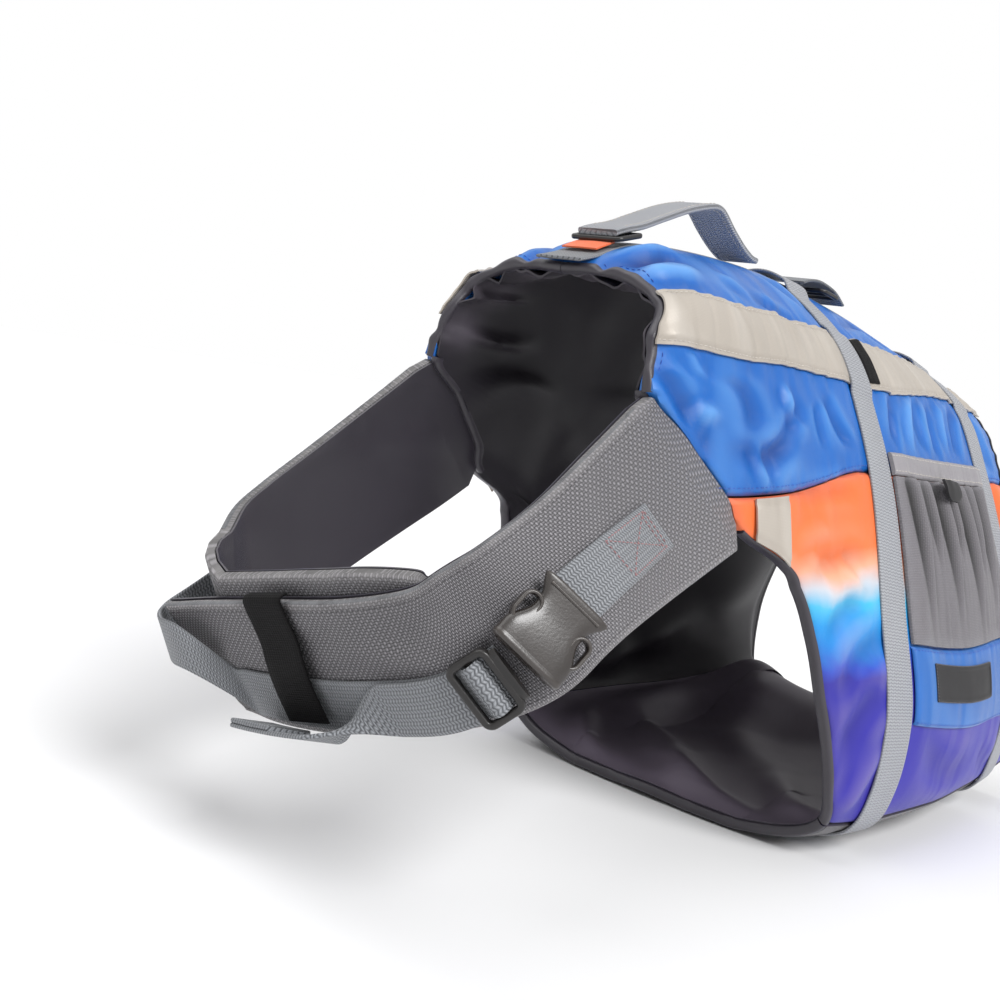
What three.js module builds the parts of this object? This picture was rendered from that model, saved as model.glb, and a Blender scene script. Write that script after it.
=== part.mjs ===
import * as THREE from 'three';

// Dog life jacket, standing on its belly and filled out as if worn.
// Millimetres, +Z up. The neck opens towards -Y, the tail towards +Y, the dog's left is +X.
// The tables count Y from a section 190 behind the neck edge; the whole part is then moved
// forwards, so that its origin is on the flat underside between the two straps.

const padThickness = 9;
const liningThickness = 1.2;
const seamGap = 0.8;
const layerGap = 0.8;
const liningGap = 1.3;
const webbingWidth = 25;
const webbingThickness = 1.6;
const tapeThickness = 0.8;
const strapPlaces = { front: -12, rear: 162 };
const strapTrough = 2.4;
const tailEdge = 212;
const bellyLevel = 7;
const neckLevels = { top: 3.82, bottom: 4.84 };
const originShift = -60;

const blue = 0x0a66d8;
const charcoal = 0x37343c;
const oxfordGrey = 0x6f7074;
const webbingGrey = 0x9a9fa4;
const reflective = 0xb9b2a6;
const pocketGrey = 0x77767a;
const bindingBlack = 0x232227;
const printOrange = 0xff6a2c;
const pocketBlue = 0x2f7fe0;
const plasticBlack = 0x17161a;

// Half sections of the filled body: x and z of ten named levels, from the middle of the back
// down the side to the keel. Each row is one place along the body.
const levelNames = ['top', 'crown', 'shoulder', 'upper', 'mid', 'low', 'wide', 'turn', 'foot', 'keel'];
const bodySections = [
  { y: -210, top: [0, 286], crown: [32, 286], shoulder: [60, 277], upper: [71, 254], mid: [76, 226],
    low: [84, 170], wide: [88, 120], turn: [80, 60], foot: [40, 20], keel: [0, 20] },
  { y: -190, top: [0, 291], crown: [32, 290], shoulder: [62, 278], upper: [72, 254], mid: [77, 226],
    low: [86, 172], wide: [92, 120], turn: [88, 60], foot: [40, 12], keel: [0, 12] },
  { y: -160, top: [0, 302], crown: [32, 298], shoulder: [64, 279], upper: [75, 252], mid: [81, 222],
    low: [91, 168], wide: [98, 110], turn: [95, 48], foot: [45, 8], keel: [0, 8] },
  { y: -130, top: [0, 306], crown: [31, 300], shoulder: [63, 278], upper: [77, 249], mid: [85, 217],
    low: [97, 162], wide: [105, 100], turn: [100, 36], foot: [50, 6], keel: [0, 6] },
  { y: -70, top: [0, 308], crown: [30, 299], shoulder: [60, 274], upper: [78, 241], mid: [90, 203],
    low: [106, 147], wide: [119, 82], turn: [111, 22], foot: [60, 5], keel: [0, 5] },
  { y: -36, top: [0, 307], crown: [29, 296], shoulder: [59, 271], upper: [78, 237], mid: [93, 198],
    low: [110, 142], wide: [125, 79], turn: [115, 21], foot: [64, 0], keel: [0, 0] },
  { y: -10, top: [0, 305], crown: [28, 293], shoulder: [58, 268], upper: [78, 234], mid: [96, 193],
    low: [113, 138], wide: [128.5, 77], turn: [117.5, 20], foot: [66, 0], keel: [0, 0] },
  { y: 60, top: [0, 296], crown: [27, 284], shoulder: [56, 261], upper: [77, 226], mid: [95, 186],
    low: [114, 133], wide: [130, 74], turn: [119, 20], foot: [66, 0], keel: [0, 0] },
  { y: 130, top: [0, 282], crown: [26, 272], shoulder: [53, 251], upper: [72, 219], mid: [88, 183],
    low: [107, 136], wide: [122, 78], turn: [112, 20], foot: [62, 0], keel: [0, 0] },
  { y: 220, top: [0, 262], crown: [25, 254], shoulder: [48, 237], upper: [64, 209], mid: [79, 177],
    low: [96, 133], wide: [108, 80], turn: [100, 24], foot: [56, 0], keel: [0, 0] },
];

// The front edge of the body, by level: neck edge, seam of the neck band, leg opening, belly hem.
const frontEdge = [
  { level: 0, y: -196 },
  { level: 1.8, y: -193 },
  { level: 2.96, y: -203 },
  { level: 3.82, y: -206 },
  { level: 4.26, y: -179 },
  { level: 4.58, y: -154 },
  { level: 4.88, y: -133 },
  { level: 4.94, y: -110 },
  { level: 5.1, y: -97 },
  { level: 5.43, y: -86 },
  { level: 5.85, y: -78 },
  { level: 6.29, y: -66 },
  { level: 6.63, y: -57 },
  { level: 7, y: -47 },
  { level: 7.6, y: -46 },
  { level: 9, y: -50 },
];

// Levels of the long lines on each side, by place along the body.
const sideLines = [
  { y: -203, stripTop: 1.82, stripFoot: 2.96, printSeam: 5.2 },
  { y: -137, stripTop: 1.93, stripFoot: 2.85, printSeam: 4.42 },
  { y: -103, stripTop: 1.86, stripFoot: 2.7, printSeam: 4.32 },
  { y: -27, stripTop: 1.72, stripFoot: 2.53, printSeam: 3.72 },
  { y: 38, stripTop: 1.5, stripFoot: 2.38, printSeam: 3.5 },
  { y: 127, stripTop: 1.12, stripFoot: 1.92, printSeam: 3.3 },
  { y: 212, stripTop: 0.86, stripFoot: 1.6, printSeam: 3.15 },
];

// Outer face of the near neck half: ends of its top and bottom edge, from the seam to the free tip.
const nearBandRows = [
  { top: [74, -206, 233], bottom: [95, -134, 171] },
  { top: [86, -251, 209], bottom: [109, -198, 154] },
  { top: [91, -289, 185], bottom: [122, -247, 143] },
  { top: [88, -316, 166], bottom: [123, -276, 126] },
  { top: [78, -327, 153], bottom: [114, -290, 109] },
  { top: [66, -333, 142], bottom: [91, -303, 93] },
  { top: [28, -334, 129], bottom: [52, -306, 79] },
  { top: [-18, -331, 118], bottom: [8, -305, 65] },
  { top: [-62, -331, 107], bottom: [-40, -302, 57] },
  { top: [-88, -334, 100], bottom: [-54, -303, 57] },
];

// Outer face of the far neck half as far as the front turn; its end lies behind the near half.
const farBandRows = [
  { top: [-74, -206, 233], bottom: [-95, -134, 171] },
  { top: [-81, -230, 209], bottom: [-92, -170, 151] },
  { top: [-86, -262, 181], bottom: [-92, -210, 128] },
  { top: [-88, -287, 161], bottom: [-92, -250, 104] },
  { top: [-87, -302, 149], bottom: [-90, -280, 87] },
  { top: [-80, -314, 138], bottom: [-82, -297, 75] },
];
const bandPad = 6;
const bandTaper = 0.9;

function smoothThrough(keys, values, at) {
  const last = keys.length - 1;
  const x = Math.min(Math.max(at, keys[0]), keys[last]);
  let i = 0;
  while (i < last - 1 && x > keys[i + 1]) {
    i += 1;
  }
  const span = keys[i + 1] - keys[i];
  const t = (x - keys[i]) / span;
  const rise = (values[i + 1] - values[i]) / span;
  const before = i > 0 ? (values[i] - values[i - 1]) / (keys[i] - keys[i - 1]) : rise;
  const after = i < last - 1 ? (values[i + 2] - values[i + 1]) / (keys[i + 2] - keys[i + 1]) : rise;
  const m0 = before * rise > 0 ? (before + rise) / 2 : 0;
  const m1 = after * rise > 0 ? (after + rise) / 2 : 0;
  const t2 = t * t;
  const t3 = t2 * t;
  return (2 * t3 - 3 * t2 + 1) * values[i] + (t3 - 2 * t2 + t) * span * m0
    + (3 * t2 - 2 * t3) * values[i + 1] + (t3 - t2) * span * m1;
}

function throughFour(a, b, c, d, t) {
  return 0.5 * (2 * b + (c - a) * t + (2 * a - 5 * b + 4 * c - d) * t * t
    + (3 * b - a - 3 * c + d) * t * t * t);
}

const sectionPlaces = bodySections.map((row) => row.y);

function sectionAt(y) {
  return levelNames.map((name) => [0, 1].map((axis) => (
    smoothThrough(sectionPlaces, bodySections.map((row) => row[name][axis]), y)
  )));
}

function onSection(section, level) {
  const i = Math.min(Math.floor(level), 8);
  const pick = (k) => {
    if (k < 0) {
      return [-section[1][0], section[1][1]];
    }
    return k > 9 ? [-section[8][0], section[8][1]] : section[k];
  };
  const four = [pick(i - 1), pick(i), pick(i + 1), pick(i + 2)];
  return [0, 1].map((axis) => throughFour(...four.map((p) => p[axis]), level - i));
}

// A point of the body's surface. Level runs from -9 to 9 over the back, and on under the keel.
function surfacePoint(level, y) {
  const wrapped = Math.abs(level) > 9 ? level - 18 * Math.sign(level) : level;
  const [x, z] = onSection(sectionAt(y), Math.abs(wrapped));
  return new THREE.Vector3(wrapped < 0 ? -x : x, y, Math.max(z, 0));
}

function bodyPoint(level, y, out) {
  const step = 0.02;
  const across = surfacePoint(level + step, y).sub(surfacePoint(level - step, y));
  const along = surfacePoint(level, y + 1).sub(surfacePoint(level, y - 1));
  const normal = across.cross(along).normalize();
  return surfacePoint(level, y).addScaledVector(normal, out);
}

const frontAt = (level) => {
  const at = Math.abs(level) > 9 ? 18 - Math.abs(level) : Math.abs(level);
  return smoothThrough(frontEdge.map((row) => row.level), frontEdge.map((row) => row.y), at);
};
const lineAt = (name) => (y) => (
  smoothThrough(sideLines.map((row) => row.y), sideLines.map((row) => row[name]), y)
);
const stripTop = lineAt('stripTop');
const stripFoot = lineAt('stripFoot');
const printSeam = lineAt('printSeam');
const stripSeam = (y) => (stripTop(y) + stripFoot(y)) / 2;

function closedGeometry(points, triangles) {
  let volume = 0;
  for (const [a, b, c] of triangles) {
    volume += points[a].dot(points[b].clone().cross(points[c]));
  }
  const index = triangles.flatMap(([a, b, c]) => (volume < 0 ? [a, c, b] : [a, b, c]));
  const geometry = new THREE.BufferGeometry();
  geometry.setAttribute('position', new THREE.Float32BufferAttribute(
    points.flatMap((p) => [p.x, p.y, p.z]), 3));
  geometry.setIndex(index);
  geometry.computeVertexNormals();
  return geometry;
}

// A padded or thin piece between two grids of points, closed along its rim.
function slab(upper, lower) {
  const rows = upper.length;
  const cols = upper[0].length;
  const points = [...upper.flat(), ...lower.flat()];
  const top = (r, c) => r * cols + c;
  const under = (r, c) => rows * cols + r * cols + c;
  const triangles = [];
  const quad = (a, b, c, d) => triangles.push([a, b, c], [a, c, d]);
  for (let r = 0; r < rows - 1; r += 1) {
    for (let c = 0; c < cols - 1; c += 1) {
      quad(top(r, c), top(r, c + 1), top(r + 1, c + 1), top(r + 1, c));
      quad(under(r, c), under(r + 1, c), under(r + 1, c + 1), under(r, c + 1));
    }
    quad(top(r, 0), top(r + 1, 0), under(r + 1, 0), under(r, 0));
    quad(top(r + 1, cols - 1), top(r, cols - 1), under(r, cols - 1), under(r + 1, cols - 1));
  }
  for (let c = 0; c < cols - 1; c += 1) {
    quad(top(0, c + 1), top(0, c), under(0, c), under(0, c + 1));
    quad(top(rows - 1, c), top(rows - 1, c + 1), under(rows - 1, c + 1), under(rows - 1, c));
  }
  return closedGeometry(points, triangles);
}

// A body swept through sections of equally many points, open with end caps or closed to a loop.
function swept(sections, isLoop) {
  const sides = sections[0].length;
  const points = sections.flat();
  const triangles = [];
  const count = isLoop ? sections.length : sections.length - 1;
  for (let i = 0; i < count; i += 1) {
    const here = i * sides;
    const next = ((i + 1) % sections.length) * sides;
    for (let k = 0; k < sides; k += 1) {
      const k2 = (k + 1) % sides;
      triangles.push([here + k, here + k2, next + k2], [here + k, next + k2, next + k]);
    }
  }
  if (!isLoop) {
    const end = (sections.length - 1) * sides;
    for (let k = 1; k < sides - 1; k += 1) {
      triangles.push([0, k + 1, k], [end, end + k, end + k + 1]);
    }
  }
  return closedGeometry(points, triangles);
}

// A strip from rows of two edge points on its inner face; turned tells which way it thickens.
function ribbon(rows, thickness, isLoop = false, turned = 1) {
  const middles = rows.map(([a, b]) => a.clone().add(b).multiplyScalar(0.5));
  const last = rows.length - 1;
  const sections = rows.map(([a, b], i) => {
    const before = isLoop ? middles[(i + last) % rows.length] : middles[Math.max(i - 1, 0)];
    const after = isLoop ? middles[(i + 1) % rows.length] : middles[Math.min(i + 1, last)];
    const along = after.clone().sub(before);
    const lift = along.cross(b.clone().sub(a)).normalize().multiplyScalar(thickness * turned);
    return [a, b, b.clone().add(lift), a.clone().add(lift)];
  });
  return swept(sections, isLoop);
}

const range = (from, to, steps) => (
  Array.from({ length: steps + 1 }, (_, i) => from + ((to - from) * i) / steps)
);
const fixed = (value) => () => value;

// A piece of the body's wall: between two levels (by y), two places (by level) and two depths.
function wallPiece({ levels, places, depths, cols, rows }) {
  const grid = (depth) => rows.map((r) => range(0, 1, cols).map((s) => {
    let y = r < 1 ? -60 : tailEdge;
    let level = 0;
    for (let turn = 0; turn < 12; turn += 1) {
      level = THREE.MathUtils.lerp(levels[0](y), levels[1](y), s);
      y = THREE.MathUtils.lerp(places[0](level), places[1](level), r);
    }
    return bodyPoint(level, y, depth(level, y));
  }));
  return slab(grid(depths[1]), grid(depths[0]));
}

const group = new THREE.Group();
group.position.set(0, originShift, 0);

function add(name, geometry, color, roughness = 0.85, metalness = 0) {
  const material = new THREE.MeshStandardMaterial({ color, roughness, metalness });
  const mesh = new THREE.Mesh(geometry, material);
  mesh.name = name;
  group.add(mesh);
  return mesh;
}

const bindingDepth = 3;
const wallFront = (level) => frontAt(level) + bindingDepth + seamGap;
const wallTail = fixed(tailEdge - bindingDepth - seamGap);
const evenRows = range(0, 1, 9);
const levelGap = 0.012;

// Back: blue, from seam to seam under the two long reflective strips.
add('back_panel', wallPiece({
  levels: [(y) => -stripSeam(y) + levelGap, (y) => stripSeam(y) - levelGap],
  places: [wallFront, wallTail],
  depths: [fixed(-padThickness), fixed(0)],
  cols: 22,
  rows: evenRows,
}), blue);

for (const [side, sign] of [['left', 1], ['right', -1]]) {
  // Upper side: blue, from the strip seam down to the print seam.
  add(`upper_side_${side}`, wallPiece({
    levels: [(y) => sign * (stripSeam(y) + levelGap), (y) => sign * (printSeam(y) - levelGap)],
    places: [wallFront, wallTail],
    depths: [fixed(-padThickness), fixed(0)],
    cols: 12,
    rows: evenRows,
  }), blue);

  // Lower side: printed cloth, from the print seam down to the belly seam.
  add(`lower_side_${side}`, wallPiece({
    levels: [(y) => sign * (printSeam(y) + levelGap), fixed(sign * (bellyLevel - levelGap))],
    places: [wallFront, wallTail],
    depths: [fixed(-padThickness), fixed(0)],
    cols: 24,
    rows: evenRows,
  }), printOrange);
}

// Belly: flat below, with a shallow trough where each body strap passes under it.
const troughDepth = (level) => (
  -strapTrough * THREE.MathUtils.smoothstep(9 - Math.abs(9 - Math.abs(level)), 7.1, 7.5)
);
const troughEdges = Object.values(strapPlaces).flatMap((y) => [
  y - webbingWidth / 2 - 1.6, y - webbingWidth / 2 - 0.8,
  y + webbingWidth / 2 + 0.8, y + webbingWidth / 2 + 1.6,
]);
const bellyPlaces = [-43, -36, ...troughEdges, 40, 80, 115, 196, wallTail()].sort((a, b) => a - b);
const inTrough = (y) => Object.values(strapPlaces).some((p) => (
  Math.abs(y - p) < webbingWidth / 2 + 1.2
));
const bellyGrid = (depth) => bellyPlaces.map((y, r) => (
  range(bellyLevel + levelGap, 18 - bellyLevel - levelGap, 22).map((level) => (
    bodyPoint(level, r === 0 ? wallFront(level) : y, depth(level, y))
  ))
));
add('belly_panel', slab(
  bellyGrid((level, y) => (inTrough(y) ? troughDepth(level) : 0)),
  bellyGrid(fixed(-padThickness)),
), charcoal);

// Lining: dark satin inside the back and sides, and inside the belly.
const liningOut = -padThickness - liningGap;
const liningDepths = [fixed(liningOut - liningThickness), fixed(liningOut)];
add('body_lining', wallPiece({
  levels: [fixed(-bellyLevel + levelGap), fixed(bellyLevel - levelGap)],
  places: [(level) => frontAt(level) + bindingDepth + seamGap, wallTail],
  depths: liningDepths,
  cols: 56,
  rows: range(0, 1, 6),
}), charcoal);
const bellyLiningGrid = (depth) => range(0, 1, 5).map((r) => (
  range(bellyLevel + 0.03, 18 - bellyLevel - 0.03, 22).map((level) => (
    bodyPoint(level, THREE.MathUtils.lerp(wallFront(level), wallTail(), r), depth)
  ))
));
add('belly_lining', slab(
  bellyLiningGrid(liningOut),
  bellyLiningGrid(liningOut - liningThickness),
), charcoal);

// Bindings: folded tape that closes the wall's rim along an edge.
function binding(levelRow, edgeAt, direction) {
  const inside = liningOut - liningThickness;
  return swept(levelRow.map((level) => {
    const y = edgeAt(level);
    const at = (depth, back) => bodyPoint(level, y + direction * back, depth);
    return [
      at(-0.5, 0.6), at(0, bindingDepth), at(inside, bindingDepth), at(inside + 0.5, 0.6),
      at(inside / 2 - 2.6, 0), at(inside / 2 + 2.6, 0),
    ];
  }), false);
}
const legLevels = [5.1, 5.26, 5.43, 5.64, 5.85, 6.07, 6.29, 6.46, 6.63, 6.8, 6.98];
for (const [side, sign] of [['left', 1], ['right', -1]]) {
  add(`leg_binding_${side}`, binding(legLevels.map((level) => sign * level), frontAt, 1), bindingBlack);
  const neckRow = [...range(0.03, 1.8, 5), 2.2, 2.6, 2.96, 3.3, 3.6, 3.8];
  add(`neck_binding_${side}`, binding(neckRow.map((level) => sign * level), frontAt, 1), blue);
}
add('belly_hem', binding(range(bellyLevel + levelGap, 18 - bellyLevel - levelGap, 22), frontAt, 1), bindingBlack);
add('tail_binding', (() => {
  const rim = range(-9, 9, 60).slice(0, -1);
  const inside = liningOut - liningThickness;
  return swept(rim.map((level) => {
    const at = (depth, back) => bodyPoint(level, tailEdge - back, depth);
    return [
      at(-0.5, 0.6), at(0, bindingDepth), at(inside, bindingDepth), at(inside + 0.5, 0.6),
      at(inside / 2 - 2.6, 0), at(inside / 2 + 2.6, 0),
    ];
  }), true);
})(), bindingBlack);

// Long reflective strips, laid over the seam between back and side.
for (const [side, sign] of [['left', 1], ['right', -1]]) {
  add(`reflective_strip_${side}`, wallPiece({
    levels: [(y) => sign * stripTop(y), (y) => sign * stripFoot(y)],
    places: [(level) => frontAt(level) + 1, fixed(tailEdge - 1)],
    depths: [fixed(layerGap), fixed(layerGap + tapeThickness)],
    cols: 6,
    rows: range(0, 1, 12),
  }), reflective, 0.5);
  // Short reflective patch between the print seam and the leg opening.
  add(`leg_patch_${side}`, wallPiece({
    levels: [(y) => sign * (printSeam(y) + 0.06), fixed(sign * 4.82)],
    places: [fixed(-133), fixed(-102)],
    depths: [fixed(layerGap), fixed(layerGap + tapeThickness)],
    cols: 3,
    rows: range(0, 1, 3),
  }), reflective, 0.5);
}

// Body straps: webbing all round, over the strips and into the belly's troughs.
const strapGap = layerGap + tapeThickness + 0.7;
function strapDepth(level) {
  const l = Math.abs(level) > 9 ? 18 - Math.abs(level) : Math.abs(level);
  const overSpine = 0.6 * (1 - THREE.MathUtils.smoothstep(l, 0.5, 0.9));
  const sunk = THREE.MathUtils.smoothstep(l, 7.1, 7.5);
  return THREE.MathUtils.lerp(strapGap + overSpine, -webbingThickness - 0.3, sunk);
}
for (const [place, y] of Object.entries(strapPlaces)) {
  const strap = ribbon(range(-9, 9, 90).slice(0, -1).map((level) => [
    bodyPoint(level, y - webbingWidth / 2, strapDepth(level)),
    bodyPoint(level, y + webbingWidth / 2, strapDepth(level)),
  ]), webbingThickness, true);
  add(`body_strap_${place}`, strap, webbingGrey);
}

// Spine webbing, and the grab handle that stands up from it.
const spineHeight = (y) => surfacePoint(0, y).z;
const spineStrip = (y, lift) => [
  new THREE.Vector3(webbingWidth / 2, y, spineHeight(y) + lift),
  new THREE.Vector3(-webbingWidth / 2, y, spineHeight(y) + lift),
];
const spineHalf = 0.446;
add('spine_webbing', wallPiece({
  levels: [fixed(-spineHalf), fixed(spineHalf)],
  places: [fixed(-196.5), fixed(205)],
  depths: [fixed(0.5), fixed(0.5 + webbingThickness)],
  cols: 4,
  rows: range(0, 1, 24),
}), webbingGrey);

const handlePath = [
  { y: -171, lift: 6 },
  { y: -152, lift: 6.8 },
  { y: -134, lift: 12 },
  { y: -114, lift: 18.5 },
  { y: -98, lift: 22.5 },
  { y: -90, lift: 23.5 },
  { y: -84, lift: 21.5 },
  { y: -74, lift: 14.5 },
  { y: -62, lift: 7.5 },
  { y: -52, lift: 3.4 },
  { y: -46, lift: 2.6 },
];
add('grab_handle', ribbon(handlePath.map(({ y, lift }) => spineStrip(y, lift)), 3.2), webbingGrey);

function frameBar(width, length, rim, thickness) {
  const outline = new THREE.Shape();
  outline.moveTo(-width / 2 + 2, -length / 2);
  outline.lineTo(width / 2 - 2, -length / 2);
  outline.quadraticCurveTo(width / 2, -length / 2, width / 2, -length / 2 + 2);
  outline.lineTo(width / 2, length / 2 - 2);
  outline.quadraticCurveTo(width / 2, length / 2, width / 2 - 2, length / 2);
  outline.lineTo(-width / 2 + 2, length / 2);
  outline.quadraticCurveTo(-width / 2, length / 2, -width / 2, length / 2 - 2);
  outline.lineTo(-width / 2, -length / 2 + 2);
  outline.quadraticCurveTo(-width / 2, -length / 2, -width / 2 + 2, -length / 2);
  for (const centre of [-1, 1]) {
    const hole = new THREE.Path();
    const inner = (length - 3 * rim) / 2;
    const low = centre < 0 ? -length / 2 + rim : rim / 2;
    hole.moveTo(-width / 2 + rim, low);
    hole.lineTo(-width / 2 + rim, low + inner);
    hole.lineTo(width / 2 - rim, low + inner);
    hole.lineTo(width / 2 - rim, low);
    hole.closePath();
    outline.holes.push(hole);
  }
  return new THREE.ExtrudeGeometry(outline, { depth: thickness, bevelEnabled: false, curveSegments: 3 });
}

// Slider frames on the spine: one below the front of the handle, one on the rear loop.
function lay(mesh, y, lift, tilt) {
  mesh.position.set(0, y, spineHeight(y) + lift);
  mesh.rotation.set(tilt, 0, 0);
}
const spineSlope = (y) => Math.atan2(spineHeight(y + 4) - spineHeight(y - 4), 8);
const accent = add('accent_patch', new THREE.BoxGeometry(22, 14, 0.8), printOrange);
lay(accent, -185, 3.8, spineSlope(-185));
const frontSlider = add('handle_slider', frameBar(33, 20, 3, 2.4), plasticBlack, 0.35);
lay(frontSlider, -164, 2.9, spineSlope(-164) - 0.03);
// The handle's front end lies just above this slider.
const rearSlider = add('rear_slider', frameBar(33, 20, 3, 2.4), plasticBlack, 0.35);
lay(rearSlider, 33, 2.8, spineSlope(33));
add('rear_loop', ribbon([
  { y: 6, lift: 3.1 },
  { y: 14, lift: 6.4 },
  { y: 24, lift: 8.4 },
  { y: 36, lift: 8.2 },
  { y: 45, lift: 6.8 },
  { y: 55, lift: 2.8 },
].map(({ y, lift }) => spineStrip(y, lift)), webbingThickness), webbingGrey);

// Pocket on the left side: flat band, gathered cloth, blue lower piece with a bare patch and a tab.
const pocketFrom = strapPlaces.front + webbingWidth / 2 + 1.5;
const pocketTo = strapPlaces.rear - webbingWidth / 2 - 1.5;
const pocketShare = (y) => (y - pocketFrom) / (pocketTo - pocketFrom);
const pocketLine = (front, rear) => (y) => THREE.MathUtils.lerp(front, rear, pocketShare(y));
const bandTop = pocketLine(3.36, 3.08);
const bandFoot = pocketLine(3.66, 3.46);
const clothFoot = pocketLine(5.3, 5.38);
const lowerFoot = pocketLine(5.98, 6.16);
const pleats = [0.1, 0.24, 0.47, 0.6, 0.74, 0.88];
function pleatHeight(level, y) {
  const share = pocketShare(y);
  const down = (level - bandFoot(y)) / (clothFoot(y) - bandFoot(y));
  const fade = Math.sin(Math.PI * Math.min(Math.max(down, 0.06), 0.94));
  const nearest = Math.min(...pleats.map((p) => Math.abs(share - p - 0.03 * down)));
  return 3 + 2.6 * fade * Math.exp(-((nearest / 0.028) ** 2)) + 2.2 * fade * Math.sin(Math.PI * share);
}
const pocketPlaces = [fixed(pocketFrom), fixed(pocketTo)];
add('pocket_band', wallPiece({
  levels: [bandTop, (y) => bandFoot(y) - 0.015],
  places: pocketPlaces,
  depths: [fixed(layerGap), fixed(layerGap + 2.2)],
  cols: 3,
  rows: range(0, 1, 14),
}), pocketGrey);
add('pocket_cloth', wallPiece({
  levels: [(y) => bandFoot(y) + 0.015, (y) => clothFoot(y) - 0.015],
  places: pocketPlaces,
  depths: [fixed(layerGap), pleatHeight],
  cols: 8,
  rows: range(0, 1, 32),
}), pocketGrey);
add('pocket_lower', wallPiece({
  levels: [(y) => clothFoot(y) + 0.015, lowerFoot],
  places: pocketPlaces,
  depths: [fixed(layerGap), fixed(layerGap + 2.2)],
  cols: 7,
  rows: range(0, 1, 14),
}), pocketBlue);
add('bare_patch', wallPiece({
  levels: [pocketLine(5.46, 5.6), pocketLine(5.72, 5.86)],
  places: [fixed(27), fixed(107)],
  depths: [fixed(layerGap + 2.9), fixed(layerGap + 4.4)],
  cols: 3,
  rows: range(0, 1, 8),
}), plasticBlack, 0.5);
add('strip_tab', wallPiece({
  levels: [(y) => stripTop(y) + 0.03, (y) => stripFoot(y) - 0.08],
  places: [fixed(strapPlaces.front + 14), fixed(strapPlaces.front + 25)],
  depths: [fixed(layerGap + tapeThickness + 0.6), fixed(layerGap + tapeThickness + 1.8)],
  cols: 5,
  rows: range(0, 1, 2),
}), bindingBlack);

// Neck band: a point by row number, share across (0 top, 1 bottom) and distance out of the face.
function rowsPoint(rows, s, v) {
  const places = rows.map((_, i) => i);
  const edge = (name) => [0, 1, 2].map((axis) => (
    smoothThrough(places, rows.map((row) => row[name][axis]), s)
  ));
  const top = new THREE.Vector3(...edge('top'));
  return top.lerp(new THREE.Vector3(...edge('bottom')), v);
}
function rowsFace(rows, facing) {
  return (s, v, out) => {
    const end = rows.length - 1;
    const a = Math.min(Math.max(s, 0.02), end - 0.02);
    const along = rowsPoint(rows, a + 0.02, v).sub(rowsPoint(rows, a - 0.02, v));
    const across = rowsPoint(rows, a, v + 0.02).sub(rowsPoint(rows, a, v - 0.02));
    const normal = along.cross(across).normalize().multiplyScalar(facing);
    return rowsPoint(rows, s, v).addScaledVector(normal, out);
  };
}
const nearFace = rowsFace(nearBandRows, 1);
const farFace = rowsFace(farBandRows, -1);
const seamLevel = (v) => THREE.MathUtils.lerp(neckLevels.top + 0.04, neckLevels.bottom - 0.04, v);
const seamPoint = (v, out, sign) => {
  const level = seamLevel(v);
  return bodyPoint(sign * level, frontAt(level) + 1.7, out);
};

const acrossBand = range(0, 1, 5);
const nearSteps = [0.25, ...range(0.5, 9, 26)];
const nearGrid = (out, seamOut) => [
  acrossBand.map((v) => seamPoint(v, seamOut, 1)),
  ...nearSteps.map((s) => acrossBand.map((v) => nearFace(s, v, out))),
];
add('neck_band_near', slab(nearGrid(0, -1), nearGrid(-bandPad, -1 - bandPad)), oxfordGrey);
const nearLiningOut = -bandPad - 0.9;
add('neck_lining_near', slab(
  nearGrid(nearLiningOut, -1.9 - bandPad),
  nearGrid(nearLiningOut - 1, -2.9 - bandPad),
), charcoal);

// The far half turns at the front and runs back behind the near half, standing a little above it.
const tuckedOut = nearLiningOut - 1 - 0.9;
const tuckedSteps = range(7.8, 4.1, 12);
const tuckShift = (s) => THREE.MathUtils.lerp(0.03, -0.14, THREE.MathUtils.smoothstep(s, 4.1, 6));
const farGrid = (out, seamOut) => [
  acrossBand.map((v) => seamPoint(v, seamOut, -1)),
  ...range(0.3, 5, 14).map((s) => acrossBand.map((v) => farFace(s, v, out))),
  ...tuckedSteps.map((s) => acrossBand.map((v) => nearFace(s, v * 0.97 + tuckShift(s), tuckedOut + out))),
];
add('neck_band_far', slab(farGrid(0, -1), farGrid(-bandPad, -1 - bandPad)), oxfordGrey);
add('neck_lining_far', slab(
  farGrid(-bandPad - bandTaper, -1.9 - bandPad),
  farGrid(-bandPad - bandTaper - 1, -2.9 - bandPad),
), charcoal);

// Neck webbing: middle line on the near half as a share across, by row number.
const webbingLine = [
  { s: 1.2, v: 0.57 },
  { s: 2.4, v: 0.61 },
  { s: 3.15, v: 0.66 },
  { s: 4.25, v: 0.74 },
  { s: 5.5, v: 0.79 },
  { s: 7, v: 0.73 },
  { s: 8.4, v: 0.68 },
];
const webbingShare = (s) => smoothThrough(webbingLine.map((r) => r.s), webbingLine.map((r) => r.v), s);
function onBand(s, acrossBy, out) {
  const width = rowsPoint(nearBandRows, s, 0).distanceTo(rowsPoint(nearBandRows, s, 1));
  return nearFace(s, webbingShare(s) + acrossBy / width, out);
}
const bandRow = (s, out) => [
  onBand(s, -webbingWidth / 2, out),
  onBand(s, webbingWidth / 2, out),
];
add('webbing_patch', ribbon(range(1.25, 3, 14).map((s) => bandRow(s, 0.6)), webbingThickness), webbingGrey);

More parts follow.
